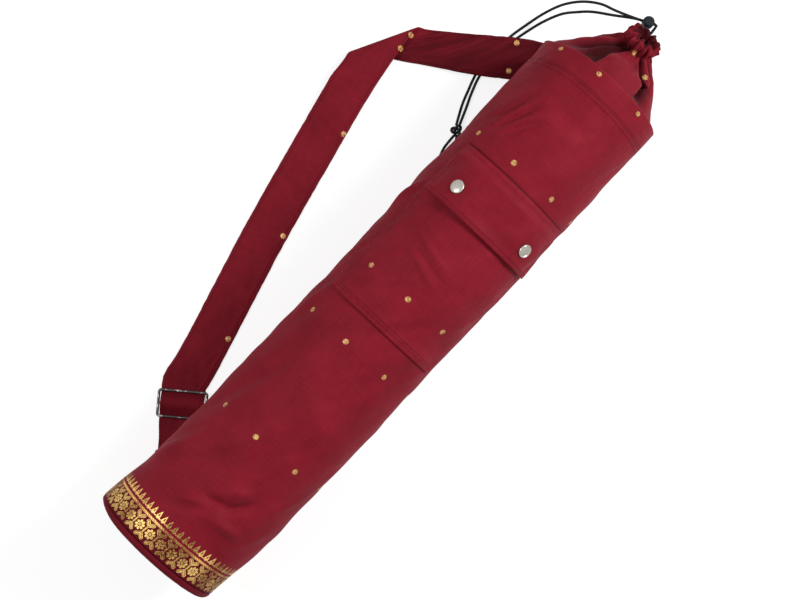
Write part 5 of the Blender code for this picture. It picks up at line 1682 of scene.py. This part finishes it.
def make_dots(strap, throat):
    """All the woven dots in one mesh, each laid on the cloth under it."""
    du, dv, dome = dot_outline()
    rings, spokes = du.shape
    patches = []
    radius = sizes().body_radius
    columns = [DOT_COLUMN + DOT_PITCH * k for k in range(-4, 4)]
    for row in DOT_ROWS:
        for arc in columns:
            along = row + du
            angle = (arc + dv) / radius
            in_pocket = abs(arc / radius - POCKET_MIDDLE) < POCKET_HALF
            if POCKET_BOTTOM < row < FLAP_SEAM and in_pocket:
                continue
            lift = crease(along, arc + dv) + 0.00012 + DOT_DOME * dome
            patches.append(on_bag(along, angle, lift))
    for arc in POCKET_DOTS:
        along = POCKET_DOT_ROW + du
        angle = (arc + dv) / radius
        patches.append(on_bag(along, angle, pouch_lift(along, angle) + 0.00012 + DOT_DOME * dome))
    for arc in COLLAR_DOTS:
        along = COLLAR_DOT_ROW + du * 0.8
        lift = crease(along, arc + dv) + 0.0005 + 0.00020 * dome
        patches.append(on_bag(along, (arc + dv) / radius, lift))
    graph = bpy.context.evaluated_depsgraph_get()
    spots = [(strap, x, y) for x, y in STRAP_DOTS] + [(throat, x, y) for x, y in THROAT_DOTS]
    for piece, x, y in spots:
        tree = BVHTree.FromObject(piece, graph)
        patch = np.zeros((rings, spokes, 3))
        for i in range(rings):
            for j in range(spokes):
                above = Vector((x + SEAM_X + du[i, j], y + dv[i, j], 0.3))
                place, normal, _, _ = tree.ray_cast(above, Vector((0, 0, -1)))
                if place is None:
                    place, normal = patch_centre, Vector((0, 0, 1))
                if i == 0:
                    patch_centre = place
                patch[i, j] = place + normal * (0.00015 + DOT_DOME * dome[i, j])
        patches.append(patch)
    faces, corner_rows, corner_cols = grid_corners(rings, spokes, False, True)
    wrapped = corner_cols % spokes
    own_uv = np.stack([du[corner_rows, wrapped], dv[corner_rows, wrapped]], axis=-1)
    count = rings * spokes
    all_faces = np.vstack([faces[:, ::-1] + k * count for k in range(len(patches))])
    uvs = np.concatenate([own_uv[:, ::-1] + 0.02 * k for k in range(len(patches))])
    vertices = np.concatenate([patch.reshape(-1, 3) for patch in patches])
    dots = make_mesh("woven_dots", vertices, all_faces, uvs.reshape(-1, 2))
    finish_piece(dots, gold_material("gold_thread"), "bag", "gold_weave")


# Carried-over nodes, camera and light


def finish_frame_nodes():
    """Give the part's own nodes that stay in view their materials."""
    nickel = metal_material("worn_nickel", colours().nickel, 0.22)
    plastic = plastic_material("lock_plastic")
    finishes = {
        # Painted shade: the ring tab's cloth at 0.75.
        "ring_tab": cloth_material("sari_cloth_tab", painted_light_scale=0.75),
        "lock_barrel": plastic,
        "lock_plunger": plastic,
    }
    for number in (1, 2):
        for kind in ("stud", "socket", "eyelet"):
            finishes[f"snap_{kind}_{number}"] = nickel
    for name, material in finishes.items():
        mesh = frame["nodes"][name].data
        mesh.materials.clear()
        mesh.materials.append(material)
        mesh.shade_smooth()
        mesh.set_sharp_from_angle(angle=math.radians(35))
    mesh = frame["nodes"]["ring_tab"].data
    layer = mesh.uv_layers.get("UVMap") or mesh.uv_layers.new(name="UVMap")
    mesh.uv_layers.active = layer
    for corner in mesh.loops:
        place = mesh.vertices[corner.vertex_index].co
        layer.data[corner.index].uv = (place.x, place.y + place.z)


def make_spring():
    """Spring in the lock: x = r cos t, y = r sin t, z rising evenly over its turns."""
    low, high = (Vector(corner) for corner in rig.box("lock_spring"))
    wire = SPRING_WIRE / 2
    radius = (high.x - low.x) / 2 - wire
    middle = (low + high) / 2
    t = np.linspace(0.0, math.tau * SPRING_TURNS, 24 * SPRING_TURNS + 1)
    path = np.stack([
        middle.x + radius * np.cos(t), middle.y + radius * np.sin(t),
        low.z + wire + (high.z - low.z - 2 * wire) * t / t[-1],
    ], axis=1)
    spring = tube("spring", path, wire, 8)
    steel = metal_material("spring_wire", (0.5, 0.5, 0.5), 0.2)
    finish_piece(spring, steel, "cord_lock", "spring_steel", ("lock_spring",))
    anchor = (middle.x, middle.y, low.z)
    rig.squash(spring, "plunger_press", axis=(0, 0, 1), anchor=anchor,
              keep=1.0 - PLUNGER_TRAVEL / (high.z - low.z))


def make_camera():
    """Camera straight above the bag, turned so that the bag slants up to the right."""
    data = bpy.data.cameras.new("camera")
    data.lens = CAMERA_LENS
    data.sensor_width = 36.0
    data.clip_end = 20.0
    camera = bpy.data.objects.new("camera", data)
    bpy.context.scene.collection.objects.link(camera)
    camera.location = CAMERA_PLACE
    camera.rotation_euler = (0.0, 0.0, CAMERA_TURN)
    bpy.context.scene.camera = camera


def area_light(name, place, size, power):
    """Square soft light at a place, aimed at the bag's middle."""
    data = bpy.data.lights.new(name, "AREA")
    data.size = size
    data.energy = power
    light = bpy.data.objects.new(name, data)
    bpy.context.scene.collection.objects.link(light)
    light.location = place
    light.rotation_euler = (-Vector(place)).to_track_quat("-Z", "Y").to_euler()
    return light


def make_stage():
    """White ground, soft lights and a white surround."""
    scene = bpy.context.scene
    scene.view_settings.view_transform = "Standard"
    world = bpy.data.worlds.new("surround")
    world.use_nodes = True
    scene.world = world
    graph = Graph(world.node_tree)
    shader = world.node_tree.nodes["Background"]
    rays = graph.node("ShaderNodeLightPath")
    seen = graph.larger(rays.outputs["Is Camera Ray"], rays.outputs["Is Glossy Ray"])
    seen = graph.larger(seen, rays.outputs["Is Transmission Ray"])
    strength = graph.mul_add(seen, SURROUND_SHOWN, SURROUND_LIGHT)
    graph.feed(shader, Color=WHITE, Strength=strength)

    size = GROUND_HALF
    mesh = bpy.data.meshes.new("ground")
    corners = [(-size, -size, 0.0), (size, -size, 0.0), (size, size, 0.0), (-size, size, 0.0)]
    mesh.from_pydata(corners, [], [(0, 1, 2, 3)])
    ground = bpy.data.objects.new("ground", mesh)
    scene.collection.objects.link(ground)
    made, graph, shader = new_material("white_ground")
    shown = graph.node("ShaderNodeLightPath").outputs["Is Camera Ray"]
    graph.feed(
        shader, Base_Color=graph.mix(shown, GROUND_LIT, GROUND_SHOWN), Roughness=0.9,
        Specular_IOR_Level=0.0, Emission_Color=WHITE,
        Emission_Strength=graph.mul(shown, GROUND_GLOW),
    )
    mesh.materials.append(made)
    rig.stage(ground, area_light(*KEY_LIGHT), area_light(*FILL_LIGHT))


# Add-on


class BAG_OT_camera(bpy.types.Operator):
    """Place the camera of the photograph."""

    bl_idname = "bag.camera"
    bl_label = "Camera"

    def execute(self, context):
        make_camera()
        return {"FINISHED"}


class BAG_OT_cords(bpy.types.Operator):
    """Make the drawcord's strands, its knot and its tails."""

    bl_idname = "bag.cords"
    bl_label = "Cords"

    def execute(self, context):
        make_cords()
        return {"FINISHED"}


class BAG_OT_body(bpy.types.Operator):
    """Make the body with its woven border."""

    bl_idname = "bag.body"
    bl_label = "Body"

    def execute(self, context):
        make_body()
        return {"FINISHED"}


class BAG_OT_base(bpy.types.Operator):
    """Make the piping and the round base."""

    bl_idname = "bag.base"
    bl_label = "Base"

    def execute(self, context):
        make_base()
        return {"FINISHED"}


class BAG_OT_throat(bpy.types.Operator):
    """Make the collar and the gathered throat."""

    bl_idname = "bag.throat"
    bl_label = "Collar and throat"

    def execute(self, context):
        make_collar()
        make_throat()
        return {"FINISHED"}


class BAG_OT_pocket(bpy.types.Operator):
    """Make the pocket, its flap and the snap caps."""

    bl_idname = "bag.pocket"
    bl_label = "Pocket and flap"

    def execute(self, context):
        make_pocket()
        make_snaps()
        return {"FINISHED"}


class BAG_OT_strap(bpy.types.Operator):
    """Make the shoulder strap with its slider and ring."""

    bl_idname = "bag.strap"
    bl_label = "Strap and fittings"

    def execute(self, context):
        make_strap()
        make_hardware()
        return {"FINISHED"}


class BAG_OT_dots(bpy.types.Operator):
    """Lay the woven gold dots on the cloth that is already there."""

    bl_idname = "bag.dots"
    bl_label = "Woven dots"

    def execute(self, context):
        make_dots(bpy.data.objects["strap"], bpy.data.objects["gathers"])
        return {"FINISHED"}


class BAG_OT_fittings(bpy.types.Operator):
    """Give the part's own pieces that stay in view their finish, and make the lock's spring."""

    bl_idname = "bag.fittings"
    bl_label = "Small fittings"

    def execute(self, context):
        finish_frame_nodes()
        make_spring()
        return {"FINISHED"}


class BAG_OT_stage(bpy.types.Operator):
    """Make the white ground and the lights."""

    bl_idname = "bag.stage"
    bl_label = "Stage"

    def execute(self, context):
        make_stage()
        return {"FINISHED"}


STEPS = (
    BAG_OT_camera, BAG_OT_cords, BAG_OT_body, BAG_OT_base, BAG_OT_throat, BAG_OT_pocket,
    BAG_OT_strap, BAG_OT_dots, BAG_OT_fittings, BAG_OT_stage,
)


class BAG_PT_panel(bpy.types.Panel):
    """Sizes, colours and steps of the bag."""

    bl_label = "Yoga mat bag"
    bl_space_type = "VIEW_3D"
    bl_region_type = "UI"
    bl_category = "Yoga mat bag"

    def draw(self, context):
        for group in (context.scene.bag_sizes, context.scene.bag_colours):
            column = self.layout.column()
            for name in group.__annotations__:
                column.prop(group, name)
        for step in STEPS:
            self.layout.operator(step.bl_idname)


CLASSES = (BagSizes, BagColours, *STEPS, BAG_PT_panel)


def register():
    """Register the add-on."""
    for made in CLASSES:
        bpy.utils.register_class(made)
    bpy.types.Scene.bag_sizes = bpy.props.PointerProperty(type=BagSizes)
    bpy.types.Scene.bag_colours = bpy.props.PointerProperty(type=BagColours)


def unregister():
    """Take the add-on away."""
    del bpy.types.Scene.bag_sizes
    del bpy.types.Scene.bag_colours
    for made in reversed(CLASSES):
        bpy.utils.unregister_class(made)


def main():
    """Build the bag in its order, and note its extent before and after."""
    register()
    bpy.ops.bag.camera()
    bpy.ops.bag.cords()
    bpy.ops.bag.body()
    bpy.ops.bag.base()
    bpy.ops.bag.throat()
    bpy.ops.bag.pocket()
    bpy.ops.bag.strap()
    bpy.ops.bag.dots()
    bpy.ops.bag.fittings()
    bpy.ops.bag.stage()
    measured = {"frame": CAD_BOX, "visual": [list(corner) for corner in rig.bounds()]}
    with open("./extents.json", "w") as file:
        json.dump(measured, file)


if __name__ == "__main__":
    main()
